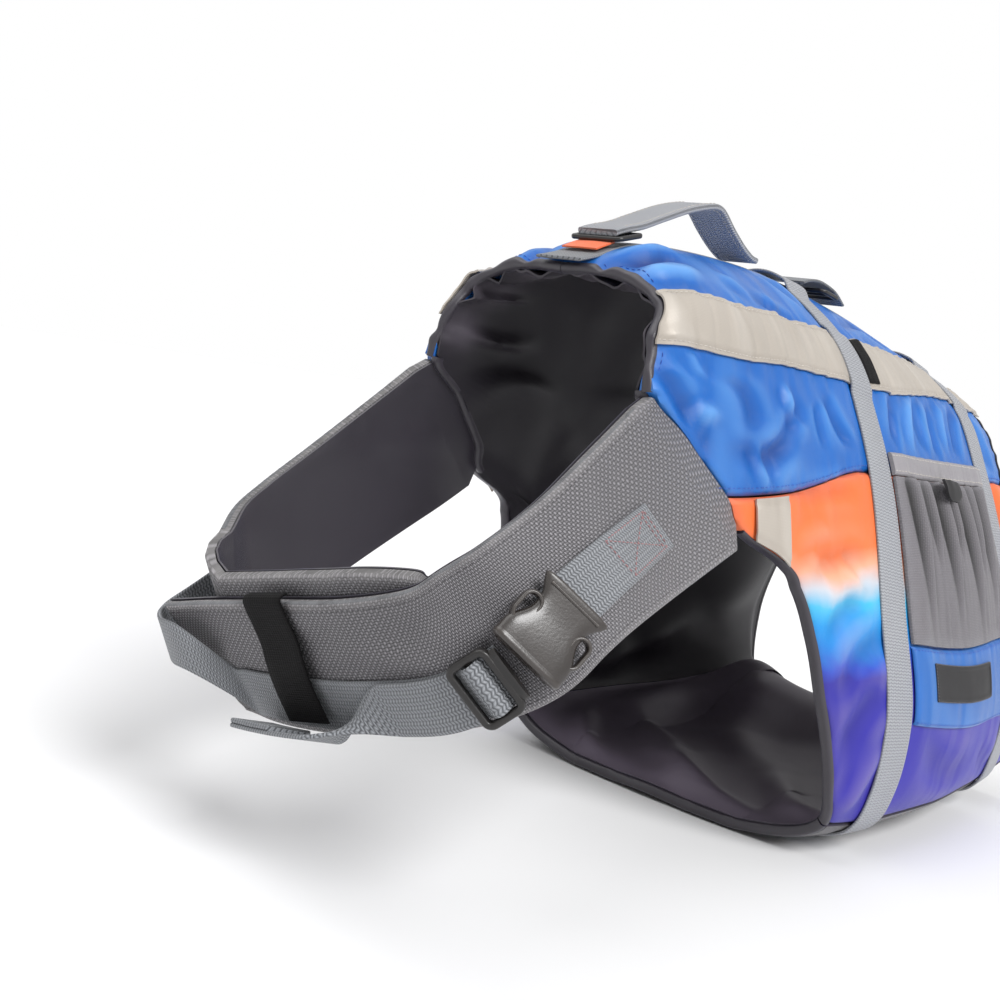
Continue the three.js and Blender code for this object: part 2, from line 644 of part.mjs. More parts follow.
// The long webbing runs from the buckle round the front turn and back along the far half.
const turnRows = [
  [[-66, -338, 97], [-62, -328, 75]],
  [[-84, -336, 97], [-82, -326, 75]],
  [[-95, -326, 100], [-94, -316, 77]],
  [[-98, -310, 108], [-98, -300, 85]],
];
const farWebbing = (s) => {
  const width = rowsPoint(farBandRows, s, 0).distanceTo(rowsPoint(farBandRows, s, 1));
  return [-1, 1].map((k) => farFace(s, 0.6 + (k * webbingWidth) / 2 / width, 1.4));
};
const longWebbing = [
  ...range(4.45, 8, 24).map((s) => bandRow(s, 0.7)),
  ...turnRows.map((row) => row.map((p) => new THREE.Vector3(...p))),
  ...range(3.6, 1.2, 10).map(farWebbing),
];
add('neck_webbing', ribbon(longWebbing, webbingThickness), webbingGrey);

// The webbing's free tail doubles back over it and ends in a folded tip.
const tailRows = [
  ...range(4.8, 5.6, 6).map((s) => bandRow(s, 3.1)),
  ...range(5.8, 7.6, 11).map((s) => {
    const bend = THREE.MathUtils.smoothstep(s, 5.8, 6.7);
    const [a, b] = bandRow(s, 3.1);
    const flatInner = onBand(s, 12.5, 3.8);
    const flatOuter = flatInner.clone().add(new THREE.Vector3(0, -24, -6));
    return [a.lerp(flatInner, bend), b.lerp(flatOuter, bend)];
  }),
];
add('webbing_tail', ribbon(tailRows, 2.4), webbingGrey);

// Elastic keeper over the band and both layers of webbing.
const keeperLine = [
  { v: -0.05, out: -3 },
  { v: -0.045, out: 0.6 },
  { v: 0.02, out: 1.2 },
  { v: 0.25, out: 1.4 },
  { v: 0.42, out: 3.6 },
  { v: 0.55, out: 4.2 },
  { v: 0.75, out: 4.6 },
  { v: 0.84, out: 4.8 },
];
add('keeper', ribbon(keeperLine.map(({ v, out }) => [
  nearFace(6.75, v, out),
  nearFace(7.2, v, out),
]), 1.2, false, -1), bindingBlack);

// Side-release buckle between the sewn patch and the long webbing.
function seat(mesh, s, acrossBy, out) {
  const origin = onBand(s, acrossBy, out);
  const along = onBand(s + 0.3, acrossBy, out).sub(onBand(s - 0.3, acrossBy, out)).normalize();
  const across = onBand(s, acrossBy + 3, out).sub(onBand(s, acrossBy - 3, out)).normalize();
  const up = along.clone().cross(across).normalize();
  const side = up.clone().cross(along).normalize();
  mesh.quaternion.setFromRotationMatrix(new THREE.Matrix4().makeBasis(along, side, up));
  mesh.position.copy(origin);
}
const buckle = { width: 34, socket: 33, thickness: 8, waist: 26, bar: 20 };
function socketShape() {
  const half = buckle.width / 2;
  const waist = buckle.waist / 2;
  const outline = new THREE.Shape();
  outline.moveTo(-buckle.socket / 2, -waist);
  outline.lineTo(-buckle.socket / 2 + 5, -waist - 2);
  outline.bezierCurveTo(-4, -waist + 1, 2, -half, buckle.socket / 2 - 6, -half);
  outline.lineTo(buckle.socket / 2, -half + 3);
  outline.lineTo(buckle.socket / 2, half - 3);
  outline.lineTo(buckle.socket / 2 - 6, half);
  outline.bezierCurveTo(2, half, -4, waist - 1, -buckle.socket / 2 + 5, waist + 2);
  outline.lineTo(-buckle.socket / 2, waist);
  outline.closePath();
  return outline;
}
const socket = add('buckle_socket', new THREE.ExtrudeGeometry(socketShape(), {
  depth: buckle.thickness, bevelEnabled: false, curveSegments: 8,
}), plasticBlack, 0.3);
const bar = add('buckle_bar', frameBar(buckle.width - 3, buckle.bar, 3.2, 5), plasticBlack, 0.3);
seat(socket, 3.12, 0, 2.9);
seat(bar, 4.45, 0, 5.4);
bar.rotateZ(Math.PI / 2);

// Closing buckles of the two body straps, low on the right side.
for (const [place, y] of Object.entries(strapPlaces)) {
  const level = -6.1;
  const height = strapGap + webbingThickness + 0.5;
  const origin = bodyPoint(level, y, height);
  const along = bodyPoint(level + 0.2, y, height).sub(bodyPoint(level - 0.2, y, height)).normalize();
  const out = origin.clone().sub(bodyPoint(level, y, 0)).normalize();
  const turn = new THREE.Matrix4().makeBasis(along, out.clone().cross(along), out);
  const strapBuckle = add(`strap_buckle_${place}`, new THREE.ExtrudeGeometry(socketShape(), {
    depth: buckle.thickness, bevelEnabled: false, curveSegments: 8,
  }), plasticBlack, 0.3);
  strapBuckle.quaternion.setFromRotationMatrix(turn);
  strapBuckle.position.copy(origin);
}

export default group;
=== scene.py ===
import math
import bpy
import bmesh
import numpy as np
from mathutils import Matrix


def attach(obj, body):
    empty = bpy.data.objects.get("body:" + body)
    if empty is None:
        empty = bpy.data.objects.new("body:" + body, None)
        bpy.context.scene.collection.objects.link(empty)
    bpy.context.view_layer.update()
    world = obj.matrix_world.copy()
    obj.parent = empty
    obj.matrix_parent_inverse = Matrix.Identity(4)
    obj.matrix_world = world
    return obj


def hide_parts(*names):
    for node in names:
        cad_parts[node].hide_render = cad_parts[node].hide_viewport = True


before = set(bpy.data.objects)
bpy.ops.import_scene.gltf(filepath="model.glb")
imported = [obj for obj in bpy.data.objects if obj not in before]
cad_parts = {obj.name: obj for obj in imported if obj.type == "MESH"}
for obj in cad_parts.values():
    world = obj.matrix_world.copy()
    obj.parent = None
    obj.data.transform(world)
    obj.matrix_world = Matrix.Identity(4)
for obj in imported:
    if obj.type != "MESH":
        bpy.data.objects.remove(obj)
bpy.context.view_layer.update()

# Dog life jacket, filled out and standing on its belly. The tables are in millimetres, as in the
# part's own source, and every mesh is turned into metres when it is made.
scene = bpy.context.scene
forward = -60.0  # the part's origin lies 60 mm behind the tables' own zero
wall = {"pad": 9.0, "liningOut": -10.3, "lining": 1.2, "binding": 3.0, "tail": 212.0, "belly": 7.0}
webbing = {"width": 25.0, "thick": 1.6}
straps = {"front": -12.0, "rear": 162.0}
levelSize = 49.0  # about this many millimetres from one level to the next

# Half sections of the filled body: place along it, then x and z of ten levels from the middle of
# the back to the keel.
sectionRows = np.array([
    (-210, 0, 286, 32, 286, 60, 277, 71, 254, 76, 226, 84, 170, 88, 120, 80, 60, 40, 20, 0, 20),
    (-190, 0, 291, 32, 290, 62, 278, 72, 254, 77, 226, 86, 172, 92, 120, 88, 60, 40, 12, 0, 12),
    (-160, 0, 302, 32, 298, 64, 279, 75, 252, 81, 222, 91, 168, 98, 110, 95, 48, 45, 8, 0, 8),
    (-130, 0, 306, 31, 300, 63, 278, 77, 249, 85, 217, 97, 162, 105, 100, 100, 36, 50, 6, 0, 6),
    (-70, 0, 308, 30, 299, 60, 274, 78, 241, 90, 203, 106, 147, 119, 82, 111, 22, 60, 5, 0, 5),
    (-36, 0, 307, 29, 296, 59, 271, 78, 237, 93, 198, 110, 142, 125, 79, 115, 21, 64, 0, 0, 0),
    (-10, 0, 305, 28, 293, 58, 268, 78, 234, 96, 193, 113, 138, 128.5, 77, 117.5, 20, 66, 0, 0, 0),
    (60, 0, 296, 27, 284, 56, 261, 77, 226, 95, 186, 114, 133, 130, 74, 119, 20, 66, 0, 0, 0),
    (130, 0, 282, 26, 272, 53, 251, 72, 219, 88, 183, 107, 136, 122, 78, 112, 20, 62, 0, 0, 0),
    (220, 0, 262, 25, 254, 48, 237, 64, 209, 79, 177, 96, 133, 108, 80, 100, 24, 56, 0, 0, 0),
], float)
sectionPlaces, sectionTable = sectionRows[:, 0], sectionRows[:, 1:]

# Front edge of the body by level: neck edge, seam of the neck band, leg opening, belly hem.
frontLevels = [0, 1.8, 2.96, 3.82, 4.26, 4.58, 4.88, 4.94, 5.1, 5.43, 5.85, 6.29, 6.63, 7, 7.6, 9]
frontPlaces = [-196, -193, -203, -206, -179, -154, -133, -110, -97, -86, -78, -66, -57, -47, -46, -50]

# Levels of the long lines on each side, by place along the body.
linePlaces = [-203, -137, -103, -27, 38, 127, 212]
lineLevels = {
    "stripTop": [1.82, 1.93, 1.86, 1.72, 1.5, 1.12, 0.86],
    "stripFoot": [2.96, 2.85, 2.7, 2.53, 2.38, 1.92, 1.6],
    "printSeam": [4.76, 4.53, 4.33, 3.73, 3.5, 3.3, 3.15],
}

# Neck halves: ends of the top and bottom edge from the seam on, outer face.
nearRows = np.array([
    [[74, -206, 233], [95, -134, 171]], [[86, -251, 209], [109, -198, 154]],
    [[91, -289, 185], [122, -247, 143]], [[88, -316, 166], [123, -276, 126]],
    [[78, -327, 153], [114, -290, 109]], [[66, -333, 142], [91, -303, 93]],
    [[28, -334, 129], [52, -306, 79]], [[-18, -331, 118], [8, -305, 65]],
    [[-62, -331, 107], [-40, -302, 57]], [[-88, -334, 100], [-54, -303, 57]],
], float)
farRows = np.array([
    [[-74, -206, 233], [-95, -134, 171]], [[-81, -230, 209], [-92, -170, 151]],
    [[-86, -262, 181], [-92, -210, 128]], [[-88, -287, 161], [-92, -250, 104]],
    [[-87, -302, 149], [-90, -280, 87]], [[-80, -314, 138], [-82, -297, 75]],
], float)


def smoothThrough(keys, values, at):
    keys = np.asarray(keys, float)
    values = np.asarray(values, float)
    at = np.clip(np.asarray(at, float), keys[0], keys[-1])
    i = np.clip(np.searchsorted(keys, at, side="left") - 1, 0, len(keys) - 2)
    span = np.diff(keys)
    spans = span.reshape((-1,) + (1,) * (values.ndim - 1))
    rises = np.diff(values, axis=0) / spans
    slope = np.zeros_like(values)
    slope[0], slope[-1] = rises[0], rises[-1]
    slope[1:-1] = np.where(rises[:-1] * rises[1:] > 0, (rises[:-1] + rises[1:]) / 2, 0)
    t = (at - keys[i]) / span[i]
    h = span[i]
    if values.ndim > 1:
        t, h = t[..., None], h[..., None]
    return ((2 * t**3 - 3 * t**2 + 1) * values[i] + (t**3 - 2 * t**2 + t) * h * slope[i]
            + (3 * t**2 - 2 * t**3) * values[i + 1] + (t**3 - t**2) * h * slope[i + 1])


def smoothStep(at, low, high):
    t = np.clip((np.asarray(at, float) - low) / (high - low), 0, 1)
    return t * t * (3 - 2 * t)


def mix(a, b, t):
    return a + (b - a) * t


def unit(vectors):
    return vectors / np.maximum(np.linalg.norm(vectors, axis=-1, keepdims=True), 1e-9)


def surfacePoint(level, y):
    level, y = np.broadcast_arrays(np.asarray(level, float), np.asarray(y, float))
    level = np.where(np.abs(level) > 9, level - 18 * np.sign(level), level)
    at = np.abs(level)
    rows = smoothThrough(sectionPlaces, sectionTable, y.ravel()).reshape(-1, 10, 2)
    mirror = rows * np.array([-1.0, 1.0])
    rows = np.concatenate([mirror[:, 1:2], rows, mirror[:, 8:9]], axis=1)
    at = at.ravel()
    i = np.minimum(np.floor(at), 8).astype(int)
    n = np.arange(len(at))
    a, b, c, d = (rows[n, i + k] for k in range(4))
    t = (at - i)[:, None]
    xz = 0.5 * (2 * b + (c - a) * t + (2 * a - 5 * b + 4 * c - d) * t * t + (3 * b - a - 3 * c + d) * t**3)
    x = np.where(level.ravel() < 0, -xz[:, 0], xz[:, 0])
    return np.stack([x, y.ravel(), np.maximum(xz[:, 1], 0)], -1).reshape(y.shape + (3,))


def bodyNormal(level, y):
    across = surfacePoint(np.asarray(level) + 0.02, y) - surfacePoint(np.asarray(level) - 0.02, y)
    along = surfacePoint(level, np.asarray(y) + 1) - surfacePoint(level, np.asarray(y) - 1)
    return unit(np.cross(across, along))


def bodyPoint(level, y, out):
    return surfacePoint(level, y) + bodyNormal(level, y) * np.asarray(out, float)[..., None]


def plainLevel(level):
    at = np.abs(level)
    return np.where(at > 9, 18 - at, at)


def lineAt(name):
    return lambda y: smoothThrough(linePlaces, lineLevels[name], y)


stripTop, stripFoot, printSeam = lineAt("stripTop"), lineAt("stripFoot"), lineAt("printSeam")


def stripSeam(y):
    return (stripTop(y) + stripFoot(y)) / 2


# Uneven waves along a line: a few near pitches, shifted by the seed.
def ripple(at, seed, pitch):
    total = 0
    for k, (rate, size) in enumerate([(1, 0.5), (1.37, 0.3), (0.71, 0.34), (2.13, 0.16)]):
        slow = 0.9 * np.sin(at / (pitch * 2.3) + seed * 1.3)
        total = total + size * np.sin(2 * np.pi * at * rate / pitch + seed * (k + 1) * 1.7 + slow)
    return total


def bump(distance, width):
    return np.exp(-(np.asarray(distance) / width) ** 2)


# Creases on one side of the body: level and place of both ends, half width, depth, bow sideways.
leftCreases = [
    (3.3, -202, 4.3, -166, 6, -1.9, 3), (2.98, -104, 3.56, -90, 4, 1.5, 2),
    (3.15, -90, 4.2, -124, 5, -2.0, -4), (4.0, -130, 4.42, -124, 3.4, 1.4, 1),
    (2.86, -60, 3.5, -40, 4.5, -1.8, 3), (3.8, -160, 4.2, -178, 5, 1.6, 3),
    (4.2, -150, 3.7, -88, 5, -1.3, 5), (3.2, -150, 3.9, -132, 7, -1.5, -5),
    (3.0, -180, 3.4, -172, 4, 1.2, 1), (3.05, -72, 3.65, -66, 3.5, -1.3, 2),
    (2.4, 33, 3.2, 16, 4.5, -2.2, 3), (2.38, 53, 3.18, 40, 4.2, 1.8, 3),
    (2.3, 68, 3.1, 60, 4.5, -2.0, 4), (2.28, 88, 3.14, 81, 4.5, -1.9, 4),
    (2.16, 110, 3.0, 99, 4.4, 1.7, 3), (2.04, 136, 3.0, 119, 4.6, -2.1, 4),
    (1.4, -110, 1.85, -66, 5, -1.7, 3), (1.26, -122, 1.6, -92, 5, 1.5, 2),
    (0.62, -196, 1.05, -140, 7, -2.6, 4), (1.1, -190, 1.12, -140, 8, -2.8, -4),
    (1.35, -188, 1.5, -150, 6, 1.9, 3), (0.6, -50, 1.3, -30, 6, -1.6, 3),
    (0.55, 40, 0.9, 140, 7, -1.7, 5), (0.8, 60, 1.2, 20, 5, -1.3, 3),
    (4.05, -42, 4.36, -96, 4, -1.3, 3), (4.62, -34, 4.92, -86, 5, -1.8, 4),
    (4.98, -36, 5.4, -76, 5, -2.0, 4), (5.25, -22, 5.82, -68, 6, -2.2, 4),
    (4.7, -60, 5.0, -40, 3.5, 1.4, 2), (5.7, -32, 6.3, -58, 7, -2.0, 5),
    (4.5, -70, 4.75, -98, 3.5, 1.3, 2), (6.2, -26, 6.8, -44, 6, 1.6, 2),
    (6.2, 20, 6.5, 90, 8, -1.5, 6), (5.6, 170, 6.4, 200, 6, -1.6, 3),
    (3.2, 176, 4.4, 196, 6, -1.7, 4), (1.9, 176, 3.0, 186, 5, -1.5, 3),
    (6.4, 110, 6.75, 150, 6, -1.2, 3), (4.6, 180, 5.4, 206, 5, -1.4, 3),
]
# The right side has no pocket, so its print runs on with creases of its own.
rightCreases = [
    (3.2, -200, 4.2, -170, 6, -2.0, -3), (3.0, -110, 3.7, -96, 4, 1.5, 2),
    (3.2, -84, 4.1, -116, 5, -1.8, 4), (2.9, -58, 3.5, -38, 5, -1.9, 3),
    (4.2, -146, 3.7, -92, 6, -1.4, -5), (3.1, -152, 3.9, -136, 6, 1.5, -4),
    (2.4, 24, 3.3, 12, 5, -2.2, 3), (2.36, 44, 3.2, 33, 5, 1.6, 3),
    (2.3, 74, 3.1, 58, 5, -2.1, 4), (2.2, 98, 3.1, 90, 4.5, -1.8, 4),
    (2.05, 128, 3.0, 116, 5, 1.8, 3), (0.7, -194, 1.0, -146, 7, -2.6, 3),
    (1.2, -188, 1.3, -150, 6, -2.2, 3), (1.5, -112, 1.8, -70, 5, -1.6, 2),
    (0.6, 30, 1.0, 130, 7, -1.6, 5), (0.5, -60, 1.2, -34, 6, -1.4, 3),
    (4.0, -40, 4.5, -96, 5, -1.6, 3), (4.9, -34, 5.4, -78, 6, -2.1, 4),
    (5.4, -24, 6.1, -64, 6, -2.0, 4), (3.6, 20, 4.6, 60, 6, -2.2, 6),
    (3.5, 60, 4.8, 30, 6, 1.7, 4), (3.6, 110, 5.0, 70, 7, -2.3, 5),
    (4.4, 140, 5.6, 110, 6, -2.0, 5), (5.2, 20, 6.0, 60, 7, -1.9, 5),
    (5.9, 80, 6.5, 140, 7, -1.7, 5), (3.4, 178, 4.6, 196, 6, -1.8, 4),
    (2.0, 178, 3.0, 188, 5, -1.5, 3), (5.4, 176, 6.2, 200, 6, -1.7, 3),
]


# Creases drawn one by one, summed at (u, v): rows of both ends, half width, depth and bow. The scales
# turn the ends into millimetres. Start and stop say over which shares of its length a crease comes
# and goes, and lips how far the cloth swells back on both sides.
def creaseSum(rows, u, v, scales, start, stop, lips=0.0):
    total = np.zeros_like(u)
    for startU, startV, endU, endV, width, depth, bow in rows:
        au, av = startU * scales[0], startV * scales[1]
        du, dv = endU * scales[0] - au, endV * scales[1] - av
        length = math.hypot(du, dv)
        t = ((u - au) * du + (v - av) * dv) / length**2
        inside = np.clip(t, 0, 1)
        side = ((u - au) * dv - (v - av) * du) / length - bow * 4 * inside * (1 - inside)
        form = bump(side, width) - lips * bump(np.abs(side) - 2 * width, width)
        total += smoothStep(t, *start) * (1 - smoothStep(t, *stop)) * depth * form
    return total


bodyScales = (levelSize, 1.0)  # for a level and a place along the body
foldLook = {"depth": 1.3, "lips": 0.42, "pinch": 1.5, "bulge": 0.8, "swell": 0.9, "shadeDepth": 2.4}


def bodyCreases(level, y):
    at = plainLevel(level) * levelSize
    left, right = (creaseSum(rows, at, y, bodyScales, (-0.12, 0.25), (0.7, 1.12), foldLook["lips"])
                   for rows in (leftCreases, rightCreases))
    return np.where(level > 0, left, right) * foldLook["depth"]


# Gathers along the seams: line, size, shift off it, half width, seed and pitch of the waves.
seamGathers = [
    (stripTop, 0.55, 3, 13, 1, 13), (stripFoot, 0.6, -3, 15, 4, 15), (printSeam, 0.5, 0, 11, 7, 11),
]


# Everything that the outer cloth does, as a distance out of the plain body. What lies on it is
# made from the same distance, moved out.
def bodyFolds(level, y):
    level, y = np.broadcast_arrays(np.asarray(level, float), np.asarray(y, float))
    at = plainLevel(level)
    side = np.where(level < 0, -1, 1)
    run = at * levelSize
    neckGap = y - smoothThrough(frontLevels, frontPlaces, at)
    gathers = 0
    for line, size, shift, width, seed, pitch in seamGathers:
        offLine = (at - line(y)) * levelSize + shift
        gathers = gathers + size * bump(offLine, width) * ripple(y, seed + side, pitch)
    neck = 1 - smoothStep(at, 3.4, 3.9)
    gathers = gathers + 0.7 * neck * bump(neckGap, 30) * ripple(run * side, 2.6, 38)
    gathers = gathers + 0.5 * bump(y - wall["tail"], 18) * ripple(run * side, 5.1, 18)
    pinch, quiet = 0, 1
    for place in straps.values():
        pinch = pinch - foldLook["pinch"] * bump(y - place, 15)
        pinch = pinch + foldLook["bulge"] * bump(np.abs(y - place) - 26, 9)
        quiet = quiet * (1 - 0.75 * bump(y - place, 12))
    between = np.clip((y - straps["front"]) / (straps["rear"] - straps["front"]), 0, 1)
    swell = foldLook["swell"] * np.sin(np.pi * between) * smoothStep(at, 2.6, 4)
    above = 1 - smoothStep(at, 6.6, 7.0)  # the belly stays flat
    spine = 1 - 0.85 * (1 - smoothStep(at, 0.5, 0.72))
    return above * ((bodyCreases(level, y) + gathers) * quiet * spine + pinch * spine + swell)


neckWaves = {"size": 0.9, "pitch": 46.0}


# The neck edge runs in small waves where it is gathered.
def frontAt(level):
    at = plainLevel(level)
    wave = neckWaves["size"] * ripple(np.asarray(level, float) * levelSize, 3.3, neckWaves["pitch"])
    calm = (1 - smoothStep(at, 3.2, 3.7)) * smoothStep(at, 0.35, 0.6)
    return smoothThrough(frontLevels, frontPlaces, at) + np.maximum(wave, -1.5) * calm


def toMetres(points):
    return (np.asarray(points, float).reshape(-1, 3) + [0, forward, 0]) * 0.001


def makePiece(name, points, faces, uv=None, rim=None, sharp=50):
    mesh = bpy.data.meshes.new(name)
    mesh.from_pydata(toMetres(points).tolist(), [], faces)
    shape = bmesh.new()
    shape.from_mesh(mesh)
    bmesh.ops.recalc_face_normals(shape, faces=shape.faces)
    shape.to_mesh(mesh)
    shape.free()
    if uv is not None:
        layer = mesh.uv_layers.new(name="cloth")
        corner = np.empty(len(mesh.loops), int)
        mesh.loops.foreach_get("vertex_index", corner)
        layer.data.foreach_set("uv", np.asarray(uv, float)[corner].ravel())
    if rim is not None:
        mesh.attributes.new("rim", "FLOAT", "POINT").data.foreach_set("value", np.asarray(rim, float).ravel())
    mesh.shade_smooth()
    mesh.set_sharp_from_angle(angle=math.radians(sharp))
    piece = bpy.data.objects.new(name, mesh)
    scene.collection.objects.link(piece)
    return piece


# Where a cloth mesh lies in a valley (above 0) or on a ridge (below 0), for its material, which paints
# shade into the valleys and a highlight onto the ridges.
def paintFoldShading(piece, folds):
    values = np.concatenate([np.ravel(folds)] * 2)
    piece.data.attributes.new("fold", "FLOAT", "POINT").data.foreach_set("value", values)


# A padded or thin piece between two grids of points, closed along its rim.
def slabPiece(name, upper, lower, uv, rim=None, sharp=50):
    rows, cols = upper.shape[:2]
    count = rows * cols
    index = np.arange(count).reshape(rows, cols)
    top = np.stack([index[:-1, :-1], index[:-1, 1:], index[1:, 1:], index[1:, :-1]], -1).reshape(-1, 4)
    border = np.concatenate([index[0, :-1], index[:-1, -1], index[-1, :0:-1], index[:0:-1, 0]])
    after = np.roll(border, -1)
    edge = np.stack([border, after, after + count, border + count], -1)
    faces = np.concatenate([top, top[:, ::-1] + count, edge]).tolist()
    both = np.concatenate([upper.reshape(-1, 3), lower.reshape(-1, 3)])
    uv = np.concatenate([uv.reshape(-1, 2)] * 2)
    if rim is not None:
        rim = np.concatenate([rim.ravel()] * 2)
    return makePiece(name, both, faces, uv, rim, sharp)


def sweptPiece(name, sections, isLoop=False, sharp=50, rim=None):
    count, sides = sections.shape[:2]
    around = np.arange(sides)
    faces = []
    for i in range(count if isLoop else count - 1):
        here, ahead = i * sides, (i + 1) % count * sides
        faces += np.stack([here + around, here + np.roll(around, -1), ahead + np.roll(around, -1),
                           ahead + around], -1).tolist()
    if not isLoop:
        faces += [around[::-1].tolist(), ((count - 1) * sides + around).tolist()]
    across = np.linalg.norm(np.diff(sections, axis=1, prepend=sections[:, :1]), axis=-1).cumsum(1)
    along = np.linalg.norm(np.diff(sections.mean(1), axis=0, prepend=sections[:1].mean(1)), axis=-1).cumsum()
    uv = np.stack([across, np.repeat(along[:, None], sides, 1)], -1) * 0.001
    return makePiece(name, sections.reshape(-1, 3), faces, uv.reshape(-1, 2), rim, sharp)


# Cross section of flat webbing: shares across and up, with rounded selvedges.
half = [0.012, 0.04, 0.2, 0.5, 0.8, 0.96, 0.988]
flatAcross = np.array([0, *half, 1, *half[::-1]])
flatUp = np.array([0.5, 0.14, 0, 0, 0, 0, 0, 0.14, 0.5, 0.86, 1, 1, 1, 1, 1, 0.86])


# A flat band from rows of two edge points on its inner face; turned tells which way it thickens.
def ribbonPiece(name, rows, thickness, turned=1, isLoop=False):
    rows = np.asarray(rows, float)
    middles = rows.mean(1)
    if isLoop:
        along = np.roll(middles, -1, 0) - np.roll(middles, 1, 0)
    else:
        along = np.gradient(middles, axis=0)
    lift = unit(np.cross(along, rows[:, 1] - rows[:, 0])) * thickness * turned
    sections = (rows[:, None, 0] + (rows[:, None, 1] - rows[:, None, 0]) * flatAcross[None, :, None]
                + lift[:, None] * flatUp[None, :, None])
    return sweptPiece(name, sections, isLoop)


# A smooth line of many points through a few.
def alongPath(points, count):
    points = np.asarray(points, float)
    steps = np.linalg.norm(np.diff(points.reshape(len(points), -1), axis=0), axis=-1)
    run = np.concatenate([[0], steps.cumsum()])
    shape = np.concatenate([2 * points[:1] - points[1:2], points, 2 * points[-1:] - points[-2:-1]])
    at = np.linspace(0, run[-1], count)
    i = np.clip(np.searchsorted(run, at, side="right") - 1, 0, len(run) - 2)
    t = ((at - run[i]) / (run[i + 1] - run[i])).reshape((-1,) + (1,) * (points.ndim - 1))
    a, b, c, d = (shape[i + k] for k in range(4))
    return 0.5 * (2 * b + (c - a) * t + (2 * a - 5 * b + 4 * c - d) * t * t + (3 * b - a - 3 * c + d) * t**3)


# Grid of a wall piece: two levels by place, two places by level, as in the part's source.
def wallGrid(levels, places, cols, rows):
    s, r = np.meshgrid(np.linspace(0, 1, cols + 1), np.linspace(0, 1, rows + 1))
    y = np.where(r < 1, -60.0, wall["tail"])
    level = np.zeros_like(y)
    for turn in range(30):
        level = mix(level, mix(levels[0](y), levels[1](y), s), 0.6)
        y = mix(y, mix(places[0](level), places[1](level), r), 0.6)
    base = surfacePoint(level, y)
    across = np.linalg.norm(np.diff(base, axis=1, prepend=base[:, :1]), axis=-1).cumsum(1)
    along = np.linalg.norm(np.diff(base, axis=0, prepend=base[:1]), axis=-1).cumsum(0)
    side = np.minimum(across, across[:, -1:] - across)
    end = np.minimum(along, along[-1:] - along)
    return {"level": level, "y": y, "side": side, "end": end, "front": along, "s": s, "r": r,
            "across": across, "uv": np.stack([across, along], -1) * 0.001,
            "rim": bump(np.minimum(side, end), 5)}


# A cloth edge that is pulled down into its seam: quarter round of the given width and depth.
def seamDrop(distance, width, depth):
    t = np.clip(distance / width, 0, 1)
    return -depth * (1 - np.sqrt(1 - (1 - t) ** 2))


def fixed(value):
    return lambda at: np.full_like(np.asarray(at, float), value)


def dress(piece, slotName, material, *nodes):
    piece.data.materials.clear()
    piece.data.materials.append(material)
    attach(piece, "root")
    if nodes:
        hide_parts(*nodes)
    return piece


# Sewing: every row of stitches is kept by thread colour and joined at the end.
threads = {"blue": [], "grey": [], "dark": [], "rose": []}


def sew(thread, points, ups, pitch=3.4, length=2.4, radius=0.26):
    points, ups = np.asarray(points, float), np.asarray(ups, float)
    run = np.concatenate([[0], np.linalg.norm(np.diff(points, axis=0), axis=-1).cumsum()])
    middles = np.arange(pitch / 2, run[-1] - length / 2, pitch)
    if len(middles) == 0:
        return

    def pick(at, table):
        return np.stack([np.interp(at, run, table[:, k]) for k in range(3)], -1)

    ahead, behind = pick(middles + length / 2, points), pick(middles - length / 2, points)
    up = unit(pick(middles, ups))
    way = unit(ahead - behind)
    side = unit(np.cross(up, way))
    rings = []
    for share, thick, height in [(0, 0.35, -0.5), (0.25, 1, 0.55), (0.75, 1, 0.55), (1, 0.35, -0.5)]:
        centre = mix(behind, ahead, share) + up * height * radius
        for turn in range(4):
            angle = math.pi / 4 + turn * math.pi / 2
            rings.append(centre + radius * thick * (side * math.cos(angle) + up * math.sin(angle)))
    threads[thread].append(np.stack(rings, 1))


# A row of stitches along one column of a wall grid.
def sewColumn(thread, grid, out, column, pitch=3.0, length=2.1):
    level, y = grid["level"][:, column], grid["y"][:, column]
    sew(thread, bodyPoint(level, y, out[:, column]), bodyNormal(level, y), pitch, length)


def sewOnBody(thread, level, y, out, **sizes):
    level, y = np.broadcast_arrays(np.asarray(level, float), np.asarray(y, float))
    sew(thread, bodyPoint(level, y, bodyFolds(level, y) + out), bodyNormal(level, y), **sizes)


def paint(red, green, blue):
    parts = [c / 255 for c in (red, green, blue)]
    return tuple(c / 12.92 if c <= 0.04045 else ((c + 0.055) / 1.055) ** 2.4 for c in parts) + (1.0,)


def feed(tree, socket, value):
    if isinstance(value, bpy.types.NodeSocket):
        tree.links.new(value, socket)
    else:
        socket.default_value = value


def put(tree, kind, values=None, **settings):
    node = tree.nodes.new(kind)
    for name, value in settings.items():
        setattr(node, name, value)
    for name, value in (values or {}).items():
        feed(tree, node.inputs[name], value)
    return node


def calc(tree, operation, *values):
    node = put(tree, "ShaderNodeMath", operation=operation)
    for i, value in enumerate(values):
        feed(tree, node.inputs[i], value)
    return node.outputs[0]


def shade(tree, factor, first, second, kind="MIX"):
    node = put(tree, "ShaderNodeMix", data_type="RGBA", blend_type=kind)
    for i, value in ((0, factor), (6, first), (7, second)):
        feed(tree, node.inputs[i], value)
    return node.outputs[2]


def newEffect(name, inputs, outputs):
    tree = bpy.data.node_groups.new(name, "ShaderNodeTree")
    for label, kind, value in inputs:
        socket = tree.interface.new_socket(name=label, in_out="INPUT", socket_type="NodeSocket" + kind)
        if value is not None:
            socket.default_value = value
    for label in outputs:
        tree.interface.new_socket(name=label, in_out="OUTPUT", socket_type="NodeSocketFloat")
    return tree, tree.nodes.new("NodeGroupInput").outputs, tree.nodes.new("NodeGroupOutput").inputs


